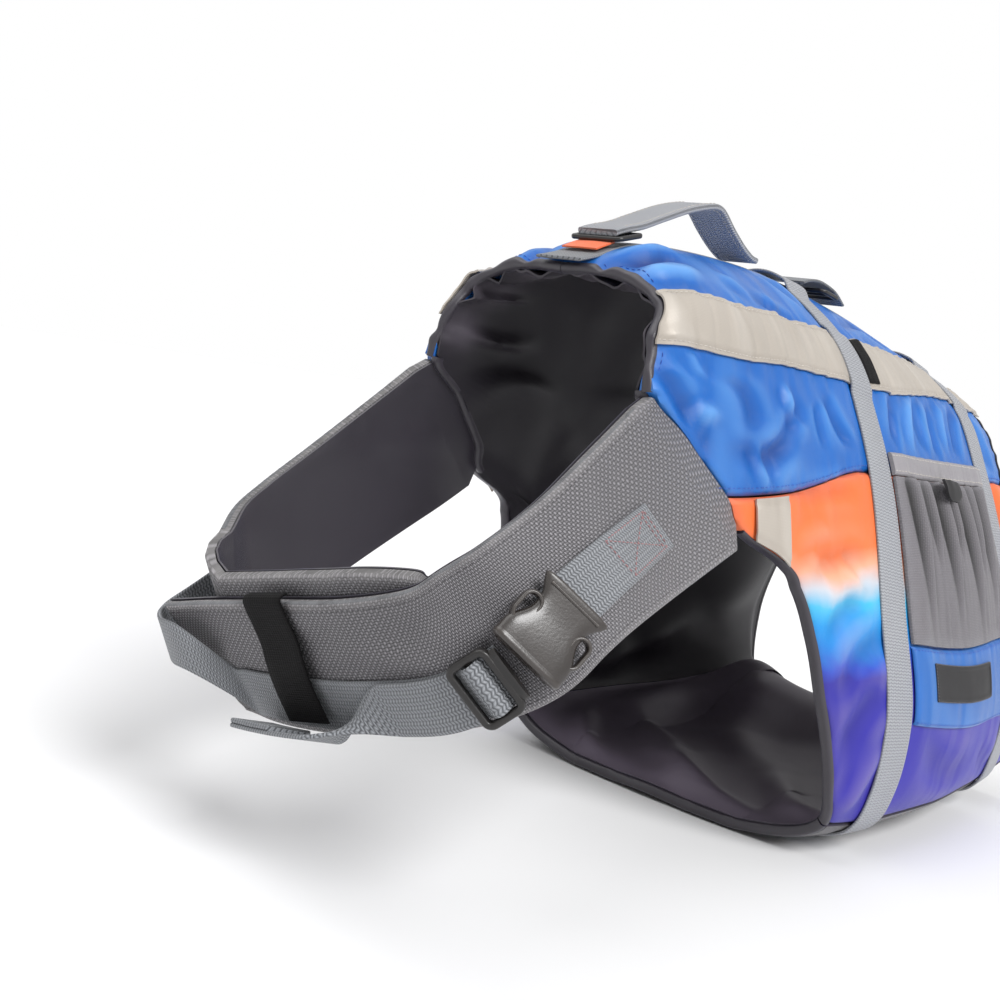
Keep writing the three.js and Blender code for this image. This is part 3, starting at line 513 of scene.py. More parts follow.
# Woven cloth: threads that pass over and under each other, a little uneven.
def makeWeave():
    tree, given, result = newEffect("wovenThreads", [
        ("Cloth", "Vector", None), ("Pitch", "Float", 0.001), ("Loose", "Float", 0.5),
        ("Second", "Float", 1.0)], ["Height", "Gap"])
    noise = put(tree, "ShaderNodeTexNoise", {"Vector": given["Cloth"], "Scale": 160.0, "Detail": 0.0})
    drift = calc(tree, "MULTIPLY", calc(tree, "SUBTRACT", noise.outputs[0], 0.5), given["Loose"])
    parts = put(tree, "ShaderNodeSeparateXYZ", {0: given["Cloth"]}).outputs
    waves = []
    for axis in (0, 1):
        turns = calc(tree, "ADD", calc(tree, "DIVIDE", parts[axis], given["Pitch"]), drift)
        waves.append(calc(tree, "SINE", calc(tree, "MULTIPLY", turns, math.pi)))
    over = calc(tree, "GREATER_THAN", calc(tree, "MULTIPLY", waves[0], waves[1]), 0.0)
    sizes = [calc(tree, "ABSOLUTE", wave) for wave in waves]
    forms = [calc(tree, "MULTIPLY", sizes[k], calc(tree, "MULTIPLY_ADD", sizes[1 - k], 0.45, 0.55))
             for k in (0, 1)]
    lower = calc(tree, "MULTIPLY", forms[1], given["Second"])  # the other way's threads may lie deeper
    lift = calc(tree, "MULTIPLY", calc(tree, "SUBTRACT", forms[0], lower), over)
    height = calc(tree, "ADD", lower, lift)
    feed(tree, result["Height"], height)
    feed(tree, result["Gap"], calc(tree, "SUBTRACT", 1.0, height))
    return tree


# Webbing: crosswise ribs in chevron columns.
def makeRibs():
    tree, given, result = newEffect("webbingRibs", [
        ("Cloth", "Vector", None), ("Rib", "Float", 0.0015), ("Column", "Float", 0.003),
        ("Chevron", "Float", 0.8)], ["Height", "Gap"])
    parts = put(tree, "ShaderNodeSeparateXYZ", {0: given["Cloth"]}).outputs
    column = calc(tree, "DIVIDE", parts[0], given["Column"])
    zigzag = calc(tree, "MULTIPLY", calc(tree, "PINGPONG", column, 1.0), given["Chevron"])
    turns = calc(tree, "ADD", calc(tree, "DIVIDE", parts[1], given["Rib"]), zigzag)
    rib = calc(tree, "ABSOLUTE", calc(tree, "SINE", calc(tree, "MULTIPLY", turns, math.pi)))
    groove = calc(tree, "ABSOLUTE", calc(tree, "SINE", calc(tree, "MULTIPLY", column, math.pi)))
    height = calc(tree, "MULTIPLY", rib, calc(tree, "MULTIPLY_ADD", groove, 0.5, 0.5))
    feed(tree, result["Height"], height)
    feed(tree, result["Gap"], calc(tree, "SUBTRACT", 1.0, height))
    return tree


# Small soft creases that the mesh doesn't carry, drawn out along the cloth; the mask marks their tops,
# where the cloth gets a painted highlight.
def makeCreases():
    tree, given, result = newEffect("softCreases", [
        ("Place", "Vector", None), ("Stretch", "Vector", (1, 1, 1)), ("Scale", "Float", 30.0),
        ("Crumple", "Float", 0.4)], ["Height", "Mask"])
    drawn = put(tree, "ShaderNodeVectorMath", {0: given["Place"], 1: given["Stretch"]}, operation="MULTIPLY")
    broad = put(tree, "ShaderNodeTexNoise", {
        "Vector": drawn.outputs[0], "Scale": given["Scale"], "Detail": 1.0, "Distortion": given["Crumple"]})
    height = put(tree, "ShaderNodeMapRange", {"Value": broad.outputs[0], "From Min": 0.32, "From Max": 0.68},
                 interpolation_type="SMOOTHSTEP")
    feed(tree, result["Height"], height.outputs[0])
    top = put(tree, "ShaderNodeMapRange", {"Value": broad.outputs[0], "From Min": 0.56, "From Max": 0.74})
    feed(tree, result["Mask"], top.outputs[0])
    return tree


# Slow change of tone over a surface.
def makeMottle():
    tree, given, result = newEffect("unevenTone", [
        ("Place", "Vector", None), ("Scale", "Float", 12.0), ("Contrast", "Float", 1.0)], ["Mask"])
    noise = put(tree, "ShaderNodeTexNoise", {
        "Vector": given["Place"], "Scale": given["Scale"], "Detail": 3.0})
    level = calc(tree, "MULTIPLY_ADD", calc(tree, "SUBTRACT", noise.outputs[0], 0.5), given["Contrast"], 0.5)
    node = put(tree, "ShaderNodeClamp", {0: level})
    feed(tree, result["Mask"], node.outputs[0])
    return tree


# Rubbed and dusty edges, from the rim value that each cloth mesh carries; on the body lining the rim value
# marks a painted highlight along the neck edge instead.
def makeRimWearAndHighlight():
    tree, given, result = newEffect("rimWearAndHighlightGroup", [
        ("Place", "Vector", None), ("Rim", "Float", 0.0), ("Scale", "Float", 90.0)], ["Mask"])
    noise = put(tree, "ShaderNodeTexNoise", {
        "Vector": given["Place"], "Scale": given["Scale"], "Detail": 4.0})
    wearAndHighlightMask = calc(tree, "MULTIPLY", given["Rim"], calc(tree, "MULTIPLY_ADD", noise.outputs[0], 1.4, -0.1))
    node = put(tree, "ShaderNodeClamp", {0: wearAndHighlightMask})
    feed(tree, result["Mask"], node.outputs[0])
    return tree


# Edges of hard pieces, lighter where they are rubbed.
def makeEdges():
    tree, given, result = newEffect("polishedEdges", [
        ("Place", "Vector", None), ("Scale", "Float", 120.0), ("Sharpness", "Float", 8.0)], ["Mask"])
    point = put(tree, "ShaderNodeNewGeometry").outputs["Pointiness"]
    noise = put(tree, "ShaderNodeTexNoise", {
        "Vector": given["Place"], "Scale": given["Scale"], "Detail": 3.0})
    edge = calc(tree, "MULTIPLY", calc(tree, "SUBTRACT", point, 0.52), given["Sharpness"])
    node = put(tree, "ShaderNodeClamp", {0: calc(tree, "MULTIPLY", edge, noise.outputs[0])})
    feed(tree, result["Mask"], node.outputs[0])
    return tree


effects = {"weave": makeWeave(), "ribs": makeRibs(), "creases": makeCreases(), "mottle": makeMottle(),
           "rimWearAndHighlight": makeRimWearAndHighlight(), "edges": makeEdges()}


def useEffect(tree, name, **values):
    node = tree.nodes.new("ShaderNodeGroup")
    node.node_tree = effects[name]
    for label, value in values.items():
        feed(tree, node.inputs[label], value)
    return node.outputs


def startMaterial(look):
    material = bpy.data.materials.new(look["name"])
    material.use_nodes = True
    tree = material.node_tree
    tree.nodes.clear()
    surface = put(tree, "ShaderNodeBsdfPrincipled", look.get("shader"))
    feed(tree, put(tree, "ShaderNodeOutputMaterial").inputs["Surface"], surface.outputs[0])
    return material, tree, surface


# Cloth of any kind: tone, threads, small creases with a painted highlight on their tops, painted shade in
# fold valleys and a painted highlight on fold ridges, and rubbed edges (on the body lining a painted
# highlight), each with its own values.
def clothMaterial(look, colour=None):
    material, tree, surface = startMaterial(look)
    cloth = put(tree, "ShaderNodeUVMap", uv_map="cloth").outputs[0]
    place = put(tree, "ShaderNodeTexCoord").outputs["Object"]
    rim = put(tree, "ShaderNodeAttribute", attribute_name="rim").outputs["Fac"]
    if look.get("ribs"):
        rib, column, chevron = look["ribs"]
        threadsOut = useEffect(tree, "ribs", Cloth=cloth, Rib=rib, Column=column, Chevron=chevron)
    else:
        threadsOut = useEffect(tree, "weave", Cloth=cloth, Pitch=look["pitch"], Loose=look["loose"],
                               Second=look["second"])
    tone = useEffect(tree, "mottle", Place=place, Scale=look["toneScale"], Contrast=look["toneContrast"])
    base = colour(tree, place) if colour else look["colour"]
    other = shade(tree, 1.0, base, look["toneTint"], "MULTIPLY") if colour else look["colourTwo"]
    base = shade(tree, tone["Mask"], base, other)
    base = shade(tree, calc(tree, "MULTIPLY", threadsOut["Gap"], look["gapShade"]), base, look["gapColour"])
    creases = useEffect(tree, "creases", Place=place, Stretch=look["stretch"], Scale=look["creaseScale"],
                        Crumple=look["crumple"])
    # painted highlight on the tops of the small creases
    lit = calc(tree, "MULTIPLY", creases["Mask"], look["creaseLight"])
    base = shade(tree, lit, base, look["lightColour"])
    # painted shade in fold valleys and a painted highlight on fold ridges, read from the fold value
    fold = put(tree, "ShaderNodeAttribute", attribute_name="fold").outputs["Fac"]
    paintedValleyShade, ridge = (put(tree, "ShaderNodeClamp", {0: calc(tree, "MULTIPLY", fold, k)}).outputs[0]
                     for k in (look["foldShade"], -look["foldLight"]))
    base = shade(tree, paintedValleyShade, base, shade(tree, 1.0, base, look["foldTint"], "MULTIPLY"))
    base = shade(tree, ridge, base, look["lightColour"])
    # rubbed edges, and on the body lining a painted highlight along the neck edge
    wearAndHighlightMask = useEffect(tree, "rimWearAndHighlight", Place=place, Rim=rim, Scale=look["rubScale"])
    base = shade(tree, calc(tree, "MULTIPLY", wearAndHighlightMask["Mask"], look["rub"]), base, look["rubColour"])
    feed(tree, surface.inputs["Base Color"], base)
    soft = put(tree, "ShaderNodeBump", {
        "Height": creases["Height"], "Strength": look["creaseStrength"], "Distance": look["creaseDepth"]})
    fine = put(tree, "ShaderNodeBump", {
        "Height": threadsOut["Height"], "Strength": look["threadStrength"],
        "Distance": look["threadDepth"], "Normal": soft.outputs[0]})
    feed(tree, surface.inputs["Normal"], fine.outputs[0])
    return material


def look(name, base, **changes):
    return {**base, "name": name, **changes}


clothLook = {
    "pitch": 0.00055, "loose": 0.4, "second": 1.0, "toneScale": 9.0, "toneContrast": 1.6, "gapShade": 0.25,
    "creaseScale": 46.0, "crumple": 0.5, "creaseLight": 0.1, "creaseStrength": 0.5, "creaseDepth": 0.0022,
    "stretch": (0.35, 1.0, 0.3),
    "foldShade": 0.7, "foldLight": 0.25, "foldTint": paint(120, 110, 125),
    "threadStrength": 0.35, "threadDepth": 0.00012, "rub": 0.25, "rubScale": 120.0,
}
blueLook = look("blue nylon", clothLook, colour=paint(0, 90, 174), colourTwo=paint(6, 106, 192),
                gapColour=paint(4, 66, 160), lightColour=paint(120, 180, 240), rubColour=paint(40, 120, 215),
                creaseLight=0.2, creaseStrength=0.5, creaseDepth=0.003, creaseScale=34.0,
                foldShade=0.45, foldLight=0.45, foldTint=paint(120, 140, 175),
                shader={"Roughness": 0.34, "Specular IOR Level": 0.5, "Sheen Weight": 0.12,
                        "Sheen Roughness": 0.4, "Sheen Tint": paint(120, 180, 255)})
blueCloth = clothMaterial(blueLook)

# Fade of the printed cloth: height in metres and colour at each stop, from the belly up.
fadeStops = [
    (0.040, paint(44, 32, 168)), (0.104, paint(34, 28, 156)), (0.110, paint(26, 72, 194)),
    (0.117, paint(0, 124, 212)), (0.129, paint(0, 154, 228)), (0.139, paint(66, 192, 234)),
    (0.147, paint(206, 212, 220)), (0.156, paint(246, 176, 140)), (0.166, paint(250, 124, 58)),
    (0.186, paint(250, 118, 50)),
]
# Its edges wander: scale and spread of the small clouds, turns and rise of a slow wave lengthwise.
fadeLook = {"scale": 26.0, "spread": 0.02, "turns": 24.0, "rise": 0.003}


def fadeColour(tree, place):
    parts = put(tree, "ShaderNodeSeparateXYZ", {0: place}).outputs
    noise = put(tree, "ShaderNodeTexNoise", {
        "Vector": place, "Scale": fadeLook["scale"], "Detail": 3.0, "Distortion": 0.6})
    cloud = calc(tree, "MULTIPLY_ADD", noise.outputs[0], fadeLook["spread"], -fadeLook["spread"] / 2)
    wave = calc(tree, "SINE", calc(tree, "MULTIPLY", parts[1], fadeLook["turns"]))
    tilt = calc(tree, "MULTIPLY", wave, fadeLook["rise"])
    height = calc(tree, "ADD", calc(tree, "ADD", parts[2], cloud), tilt)
    low, high = fadeStops[0][0], fadeStops[-1][0]
    share = put(tree, "ShaderNodeMapRange", {"Value": height, "From Min": low, "From Max": high})
    ramp = put(tree, "ShaderNodeValToRGB", {0: share.outputs[0]})
    band = ramp.color_ramp
    for at, colour in fadeStops[1:-1]:
        band.elements.new((at - low) / (high - low)).color = colour
    band.elements[0].color = fadeStops[0][1]
    band.elements[-1].color = fadeStops[-1][1]
    return ramp.outputs[0]


printCloth = clothMaterial(look(
    "faded print", clothLook, toneTint=paint(235, 235, 240), gapColour=paint(40, 40, 90), gapShade=0.12,
    lightColour=paint(255, 235, 225), creaseLight=0.03, creaseStrength=0.35, foldLight=0.1, foldShade=0.3,
    foldTint=paint(150, 135, 160), rubColour=paint(120, 110, 170), rub=0.1,
    shader={"Roughness": 0.5, "Sheen Weight": 0.08, "Sheen Roughness": 0.5}), fadeColour)
pocketBlue = clothMaterial(look(
    "pocket blue", blueLook, colour=paint(30, 96, 172), colourTwo=paint(40, 108, 184),
    gapColour=paint(18, 70, 146), pitch=0.0007,
    shader={"Roughness": 0.5, "Sheen Weight": 0.25, "Sheen Roughness": 0.4}))
satin = clothMaterial(look(
    "satin lining", clothLook, colour=paint(46, 42, 50), colourTwo=paint(54, 50, 58),
    gapColour=paint(34, 31, 38), lightColour=paint(118, 118, 130), rubColour=paint(80, 76, 84),
    creaseScale=15.0, creaseDepth=0.006, creaseStrength=0.4, crumple=0.6, creaseLight=0.0,
    stretch=(0.9, 0.6, 0.9),
    shader={"Roughness": 0.32, "Specular IOR Level": 0.6, "Sheen Weight": 0.15, "Sheen Roughness": 0.35,
            "Sheen Tint": paint(190, 195, 225)}))
# Belly lining satin: the lining's satin painted much lighter for the light that falls on it.
satinLook = look(
    "belly satin", clothLook, colour=paint(118, 108, 124), colourTwo=paint(134, 124, 140),
    gapColour=paint(34, 31, 38), lightColour=paint(118, 118, 130), rubColour=paint(80, 76, 84),
    creaseScale=13.0, creaseDepth=0.007, creaseStrength=0.5, crumple=0.8, creaseLight=0.0,
    stretch=(0.8, 0.7, 1.0), shader={"Roughness": 0.5, "Specular IOR Level": 0.45})
bellySatinPaintedLighter = clothMaterial(satinLook)
# Body lining satin: painted darker for the shade inside the body, with a painted highlight along the neck
# edge from its rim value.
bodySatinPaintedDarker = clothMaterial(look(
    "body satin", satinLook, colour=paint(34, 31, 37), colourTwo=paint(44, 40, 48),
    rub=1.0, rubScale=40.0, rubColour=paint(104, 98, 108), creaseStrength=0.35,
    shader={"Roughness": 0.5, "Specular IOR Level": 0.4}))
bellyCloth = clothMaterial(look(
    "belly cloth", clothLook, colour=paint(60, 56, 62), colourTwo=paint(70, 66, 72),
    gapColour=paint(40, 38, 45), lightColour=paint(110, 108, 116), rubColour=paint(90, 86, 92),
    creaseScale=16.0, creaseDepth=0.003, creaseLight=0.1,
    shader={"Roughness": 0.5, "Sheen Weight": 0.2, "Sheen Roughness": 0.4}))
oxfordLook = look(
    "coarse oxford", clothLook, colour=paint(160, 157, 162), colourTwo=paint(136, 133, 138),
    gapColour=paint(8, 7, 9), gapShade=1.0, pitch=0.00155, loose=0.5, second=0.5, threadStrength=0.9,
    threadDepth=0.00045, lightColour=paint(150, 150, 152), rubColour=paint(158, 155, 155), rub=0.5,
    creaseScale=12.0, creaseStrength=0.3, creaseLight=0.08,
    shader={"Roughness": 0.5, "Specular IOR Level": 0.6, "Sheen Weight": 0.15, "Sheen Roughness": 0.4})
oxford = clothMaterial(oxfordLook)
pocketCloth = clothMaterial(look(
    "pocket cloth", clothLook, foldShade=1.0, foldLight=0.15, foldTint=paint(50, 46, 50),
    colour=paint(134, 130, 135), colourTwo=paint(118, 115, 120),
    gapColour=paint(46, 44, 48), gapShade=0.6, pitch=0.0009, second=0.7, threadStrength=0.6,
    threadDepth=0.0003, lightColour=paint(160, 160, 165), rubColour=paint(150, 150, 155), creaseScale=30.0,
    shader={"Roughness": 0.6, "Sheen Weight": 0.2, "Sheen Roughness": 0.4}))
bandCloth = clothMaterial(look(
    "pocket band", clothLook, colour=paint(150, 146, 150), colourTwo=paint(138, 135, 140),
    gapColour=paint(90, 88, 94), gapShade=0.4, pitch=0.0009, lightColour=paint(185, 182, 185),
    rubColour=paint(170, 168, 170), creaseScale=40.0,
    shader={"Roughness": 0.55, "Sheen Weight": 0.2, "Sheen Roughness": 0.4}))
webbingLook = look(
    "webbing", clothLook, ribs=(0.0017, 0.0018, 0.5), colour=paint(160, 163, 168),
    colourTwo=paint(146, 149, 154), gapColour=paint(52, 54, 58), gapShade=0.9, threadStrength=0.9,
    threadDepth=0.0005, lightColour=paint(190, 198, 204), rubColour=paint(196, 200, 205), rub=0.4,
    creaseScale=30.0, creaseStrength=0.2, creaseLight=0.05,
    shader={"Roughness": 0.55, "Specular IOR Level": 0.5, "Sheen Weight": 0.2, "Sheen Roughness": 0.35})
webbingCloth = clothMaterial(webbingLook)
edgeTape = clothMaterial(look(
    "band edge tape", webbingLook, ribs=(0.0009, 0.0025, 0.0), colour=paint(84, 82, 86),
    colourTwo=paint(70, 68, 72), gapColour=paint(30, 29, 32)))
strapCloth = clothMaterial(look(
    "light webbing", webbingLook, colour=paint(180, 182, 187), colourTwo=paint(166, 168, 174),
    gapColour=paint(112, 114, 120), gapShade=0.8))
tapeCloth = clothMaterial(look(
    "reflective tape", clothLook, colour=paint(188, 180, 170), colourTwo=paint(176, 168, 158),
    gapColour=paint(150, 142, 132), gapShade=0.35, pitch=0.0007, lightColour=paint(214, 208, 200),
    rubColour=paint(150, 140, 130), rub=0.4, creaseScale=46.0, creaseLight=0.25, creaseDepth=0.0012,
    toneScale=30.0, shader={"Roughness": 0.42, "Metallic": 0.15, "Specular IOR Level": 0.5}))
bindingCloth = clothMaterial(look(
    "dark binding", clothLook, ribs=(0.0009, 0.0025, 0.5), colour=paint(50, 47, 52),
    colourTwo=paint(42, 40, 45), gapColour=paint(20, 19, 22), gapShade=0.6, threadStrength=0.7,
    threadDepth=0.0003, lightColour=paint(90, 88, 94), rubColour=paint(100, 96, 100),
    shader={"Roughness": 0.6, "Sheen Weight": 0.25, "Sheen Roughness": 0.35}))
accentCloth = clothMaterial(look(
    "accent cloth", clothLook, colour=paint(246, 106, 52), colourTwo=paint(252, 122, 66),
    gapColour=paint(200, 80, 36), lightColour=paint(255, 170, 130), rubColour=paint(230, 120, 80),
    shader={"Roughness": 0.55, "Sheen Weight": 0.2}))
elasticCloth = clothMaterial(look(
    "woven elastic", clothLook, ribs=(0.0011, 0.0016, 0.0), colour=paint(15, 13, 14),
    colourTwo=paint(12, 11, 12), gapColour=paint(8, 8, 9), gapShade=0.6, threadStrength=0.7,
    threadDepth=0.0003, lightColour=paint(40, 38, 40), rubColour=paint(42, 40, 42), toneScale=60.0,
    creaseLight=0.03, rub=0.15, shader={"Roughness": 0.55, "Specular IOR Level": 0.1}))


# Moulded plastic and rubber: fine grain, uneven tone and gloss, and edges rubbed lighter.
def mouldedMaterial(look):
    material, tree, surface = startMaterial(look)
    place = put(tree, "ShaderNodeTexCoord").outputs["Object"]
    tone = useEffect(tree, "mottle", Place=place, Scale=look["toneScale"], Contrast=1.5)
    edges = useEffect(tree, "edges", Place=place, Scale=look["edgeScale"], Sharpness=look["edgeSharpness"])
    base = shade(tree, tone["Mask"], look["colour"], look["colourTwo"])
    base = shade(tree, edges["Mask"], base, look["edgeColour"])
    feed(tree, surface.inputs["Base Color"], base)
    rough = calc(tree, "MULTIPLY_ADD", tone["Mask"], look["roughChange"], look["rough"])
    feed(tree, surface.inputs["Roughness"], rough)
    grain = put(tree, "ShaderNodeTexNoise", {"Vector": place, "Scale": look["grain"], "Detail": 3.0})
    fine = put(tree, "ShaderNodeBump", {
        "Height": grain.outputs[0], "Strength": look["grainStrength"], "Distance": 0.0002})
    feed(tree, surface.inputs["Normal"], fine.outputs[0])
    return material


plasticLook = {
    "name": "glossy plastic", "colour": paint(38, 34, 32), "colourTwo": paint(52, 46, 43),
    "edgeColour": paint(104, 96, 90), "toneScale": 60.0, "edgeScale": 160.0, "edgeSharpness": 6.0,
    "rough": 0.26, "roughChange": 0.14, "grain": 900.0, "grainStrength": 0.3,
    "shader": {"Specular IOR Level": 0.65, "Coat Weight": 0.15, "Coat Roughness": 0.15},
}
plastic = mouldedMaterial(plasticLook)
framePlastic = mouldedMaterial({
    **plasticLook, "name": "frame plastic", "colour": paint(20, 19, 19), "colourTwo": paint(28, 26, 26),
    "edgeColour": paint(70, 66, 64), "shader": {"Specular IOR Level": 0.5}})
rubber = mouldedMaterial({
    **plasticLook, "name": "rubber", "colour": paint(24, 23, 25), "colourTwo": paint(30, 29, 31),
    "edgeColour": paint(60, 58, 60), "rough": 0.5, "roughChange": 0.16, "grain": 1500.0,
    "grainStrength": 0.3, "shader": {"Specular IOR Level": 0.45}})


def threadMaterial(name, colour, colourTwo):
    material, tree, surface = startMaterial({"name": name, "shader": {"Roughness": 0.5, "Sheen Weight": 0.3}})
    place = put(tree, "ShaderNodeTexCoord").outputs["Object"]
    tone = useEffect(tree, "mottle", Place=place, Scale=220.0, Contrast=2.0)
    feed(tree, surface.inputs["Base Color"], shade(tree, tone["Mask"], colour, colourTwo))
    twist = put(tree, "ShaderNodeTexNoise", {"Vector": place, "Scale": 3200.0})
    ply = put(tree, "ShaderNodeBump", {"Height": twist.outputs[0], "Strength": 0.4, "Distance": 0.0001})
    feed(tree, surface.inputs["Normal"], ply.outputs[0])
    return material


threadMaterials = {
    "blue": threadMaterial("blue thread", paint(10, 62, 150), paint(30, 90, 190)),
    "grey": threadMaterial("grey thread", paint(176, 170, 162), paint(204, 198, 190)),
    "dark": threadMaterial("dark thread", paint(46, 44, 48), paint(70, 66, 72)),
    "rose": threadMaterial("rose thread", paint(140, 92, 96), paint(170, 120, 120)),
}
print("materials made")

neckLimit = 3.8  # from here down the front edge is the seam of the neck band, then the leg opening


# The wall gets thin towards the neck edge, where outer cloth and lining are sewn together.
def thinEdge(level, front):
    return (1 - smoothStep(plainLevel(level), 3.3, 3.9)) * bump(front, 9)


legLevels = np.concatenate([np.linspace(4.84, 5.12, 60), np.linspace(5.14, 9, 140)])
legLine = np.stack([legLevels * levelSize, smoothThrough(frontLevels, frontPlaces, legLevels)], -1)


def legDistance(level, y):
    level, y = np.broadcast_arrays(level, y)
    at = np.stack([plainLevel(level) * levelSize, y], -1).reshape(-1, 1, 2)
    return np.linalg.norm(at - legLine, axis=-1).min(1).reshape(level.shape)


# It gets thinner towards the leg opening and the front hem too.
def legEdge(level, y):
    return smoothStep(plainLevel(level), 4.5, 4.8) * bump(legDistance(level, y) - 1, 10)


def outerDepth(grid, sideDrop=2.2):
    level, y = grid["level"], grid["y"]
    end = np.minimum(grid["end"], np.where(plainLevel(level) > 4.6, legDistance(level, y) - 0.5, 99))
    out = bodyFolds(level, y) + seamDrop(grid["side"], 5, sideDrop) + seamDrop(np.maximum(end, 0), 6, 1.6)
    return out - 3.0 * thinEdge(level, grid["front"]) - 0.8 * legEdge(level, y)


def innerDepth(grid):
    level, y = grid["level"], grid["y"]
    return -wall["pad"] + 2.0 * thinEdge(level, grid["front"]) + 3.4 * legEdge(level, y)


def wallFront(level):
    return frontAt(level) + np.where(plainLevel(level) < neckLimit, 1.2, wall["binding"] + 0.8)


wallTail = fixed(wall["tail"] - wall["binding"] - 0.8)


def wallPanel(name, levels, cols, rows, sideDrop=2.2):
    grid = wallGrid(levels, [wallFront, wallTail], cols, rows)
    upper = bodyPoint(grid["level"], grid["y"], outerDepth(grid, sideDrop))
    lower = bodyPoint(grid["level"], grid["y"], innerDepth(grid))
    piece = slabPiece(name, upper, lower, grid["uv"], grid["rim"])
    # the creases get painted shade in their valleys and a painted highlight on their ridges
    paintFoldShading(piece, -bodyCreases(grid["level"], grid["y"]) / foldLook["shadeDepth"])
    return piece


# Back and upper sides are blue, from seam to seam under the long reflective strips.
gap = 0.008  # of a level, from a seam to the panel's edge
backPiece = wallPanel("cloth_back", [lambda y: -stripSeam(y) + gap, lambda y: stripSeam(y) - gap], 76, 170)
dress(backPiece, "blue_cloth", blueCloth, "back_panel")
for side, sign in (("left", 1), ("right", -1)):
    piece = wallPanel(f"cloth_upper_{side}", [
        lambda y, k=sign: k * (stripSeam(y) + gap), lambda y, k=sign: k * (printSeam(y) - gap)], 56, 170)
    dress(piece, "blue_cloth", blueCloth, f"upper_side_{side}")
    piece = wallPanel(f"cloth_lower_{side}", [
        lambda y, k=sign: k * (printSeam(y) + gap), fixed(sign * (wall["belly"] - gap))], 80, 170)
    dress(piece, "print_cloth", printCloth, f"lower_side_{side}")
print("outer panels made")

# Belly: flat below, with a shallow trough for each body strap.
bellyLook = {"trough": 2.4, "inFrom": 7.1, "inTo": 7.5, "frontRim": 0.8}


def sunkBelow(level):
    return smoothStep(plainLevel(level), bellyLook["inFrom"], bellyLook["inTo"])


def bellyGrid(count):
    ys = np.unique(np.concatenate([np.linspace(-40, 208.2, 86), *[
        np.array([-1.6, -0.8, 0.8, 1.6]) + place + k * webbing["width"] / 2
        for place in straps.values() for k in (-1, 1)]]))
    levels = np.linspace(wall["belly"] + gap, 18 - wall["belly"] - gap, count)
    level, y = np.meshgrid(levels, ys)
    y[0] = frontAt(levels) + wall["binding"] + 0.8
    return level, y


level, y = bellyGrid(110)
inTrough = sum((np.abs(y - place) < webbing["width"] / 2 + 1.2) * 1.0 for place in straps.values())
trough = -bellyLook["trough"] * sunkBelow(level) * inTrough
bellyUv = np.stack([level * levelSize, y], -1) * 0.001
frontRim = legEdge(level, y)
bellyPiece = slabPiece("cloth_belly", bodyPoint(level, y, trough - bellyLook["frontRim"] * frontRim),
                       bodyPoint(level, y, 3.4 * frontRim - wall["pad"]),
                       bellyUv, bump(y - y[0], 6))
dress(bellyPiece, "dark_cloth", bellyCloth, "belly_panel")

# Lining of the back and sides: dark satin, painted darker for the shade inside the body, gathered along
# the neck edge, where a painted highlight runs.
liningLook = {"gather": 1.5, "reach": 34.0, "pitch": 52.0}
liningCreases = [
    # level and place of both ends, half width, depth (minus is into the hollow), bow
    (-0.95, -196, -0.8, -150, 5, -4.0, 3), (-1.5, -194, -1.2, -160, 4, -3.0, 2),
    (0.25, -196, 0.35, -160, 5, -3.4, 2), (1.05, -194, 1.2, -158, 4.5, -4.0, 3),
    (1.6, -190, 1.5, -150, 5, -3.2, -2), (-2.4, -200, -2.1, -150, 6, -3.6, 4),
    (-3.2, -196, -2.9, -130, 7, -4.0, -5), (-4.2, -176, -3.6, -100, 8, -4.2, 6),
    (-5.2, -84, -4.2, -40, 8, -4.0, 5), (-6.2, -60, -5.4, 40, 10, -4.5, 8),
    (-5.0, -20, -4.4, 80, 10, -3.6, 7), (-6.6, 0, -6.0, 120, 9, -4.0, -8),
    (-3.4, -60, -3.0, 60, 9, -3.2, 6), (2.4, -180, 2.2, -90, 7, -3.4, 5),
    (3.4, -150, 3.2, -60, 8, -3.4, -6), (5.4, -60, 4.6, 20, 9, -3.6, 6),
    (6.4, 10, 5.6, 120, 10, -4.0, -8), (-2.0, -40, -1.8, 90, 9, -2.8, -6),
    (-6.3, 90, -5.4, 190, 24, -10.0, 6), (-6.5, 40, -6.2, 110, 15, -7.0, 5),
    (5.9, 90, 5.2, 190, 20, -7.0, 5), (-0.4, -150, 0.5, -60, 14, -5.0, 6),
]


def liningFolds(level, y, creases):
    return creaseSum(creases, level * levelSize, y, bodyScales, (-0.2, 0.3), (0.6, 1.15))


# The filling stands up inside, where belly and sides meet near the tail.
swellLook = {"at": 168, "reach": 44, "belly": 26, "side": 11}


def cornerSwell(level, y):
    along = bump(y - swellLook["at"], swellLook["reach"]) * smoothStep(wall["tail"] - y, 2, 20)
    at = plainLevel(level)
    return along * (swellLook["belly"] * smoothStep(at, 5.8, 7.3) + swellLook["side"] * bump(at - 5.2, 1.5))


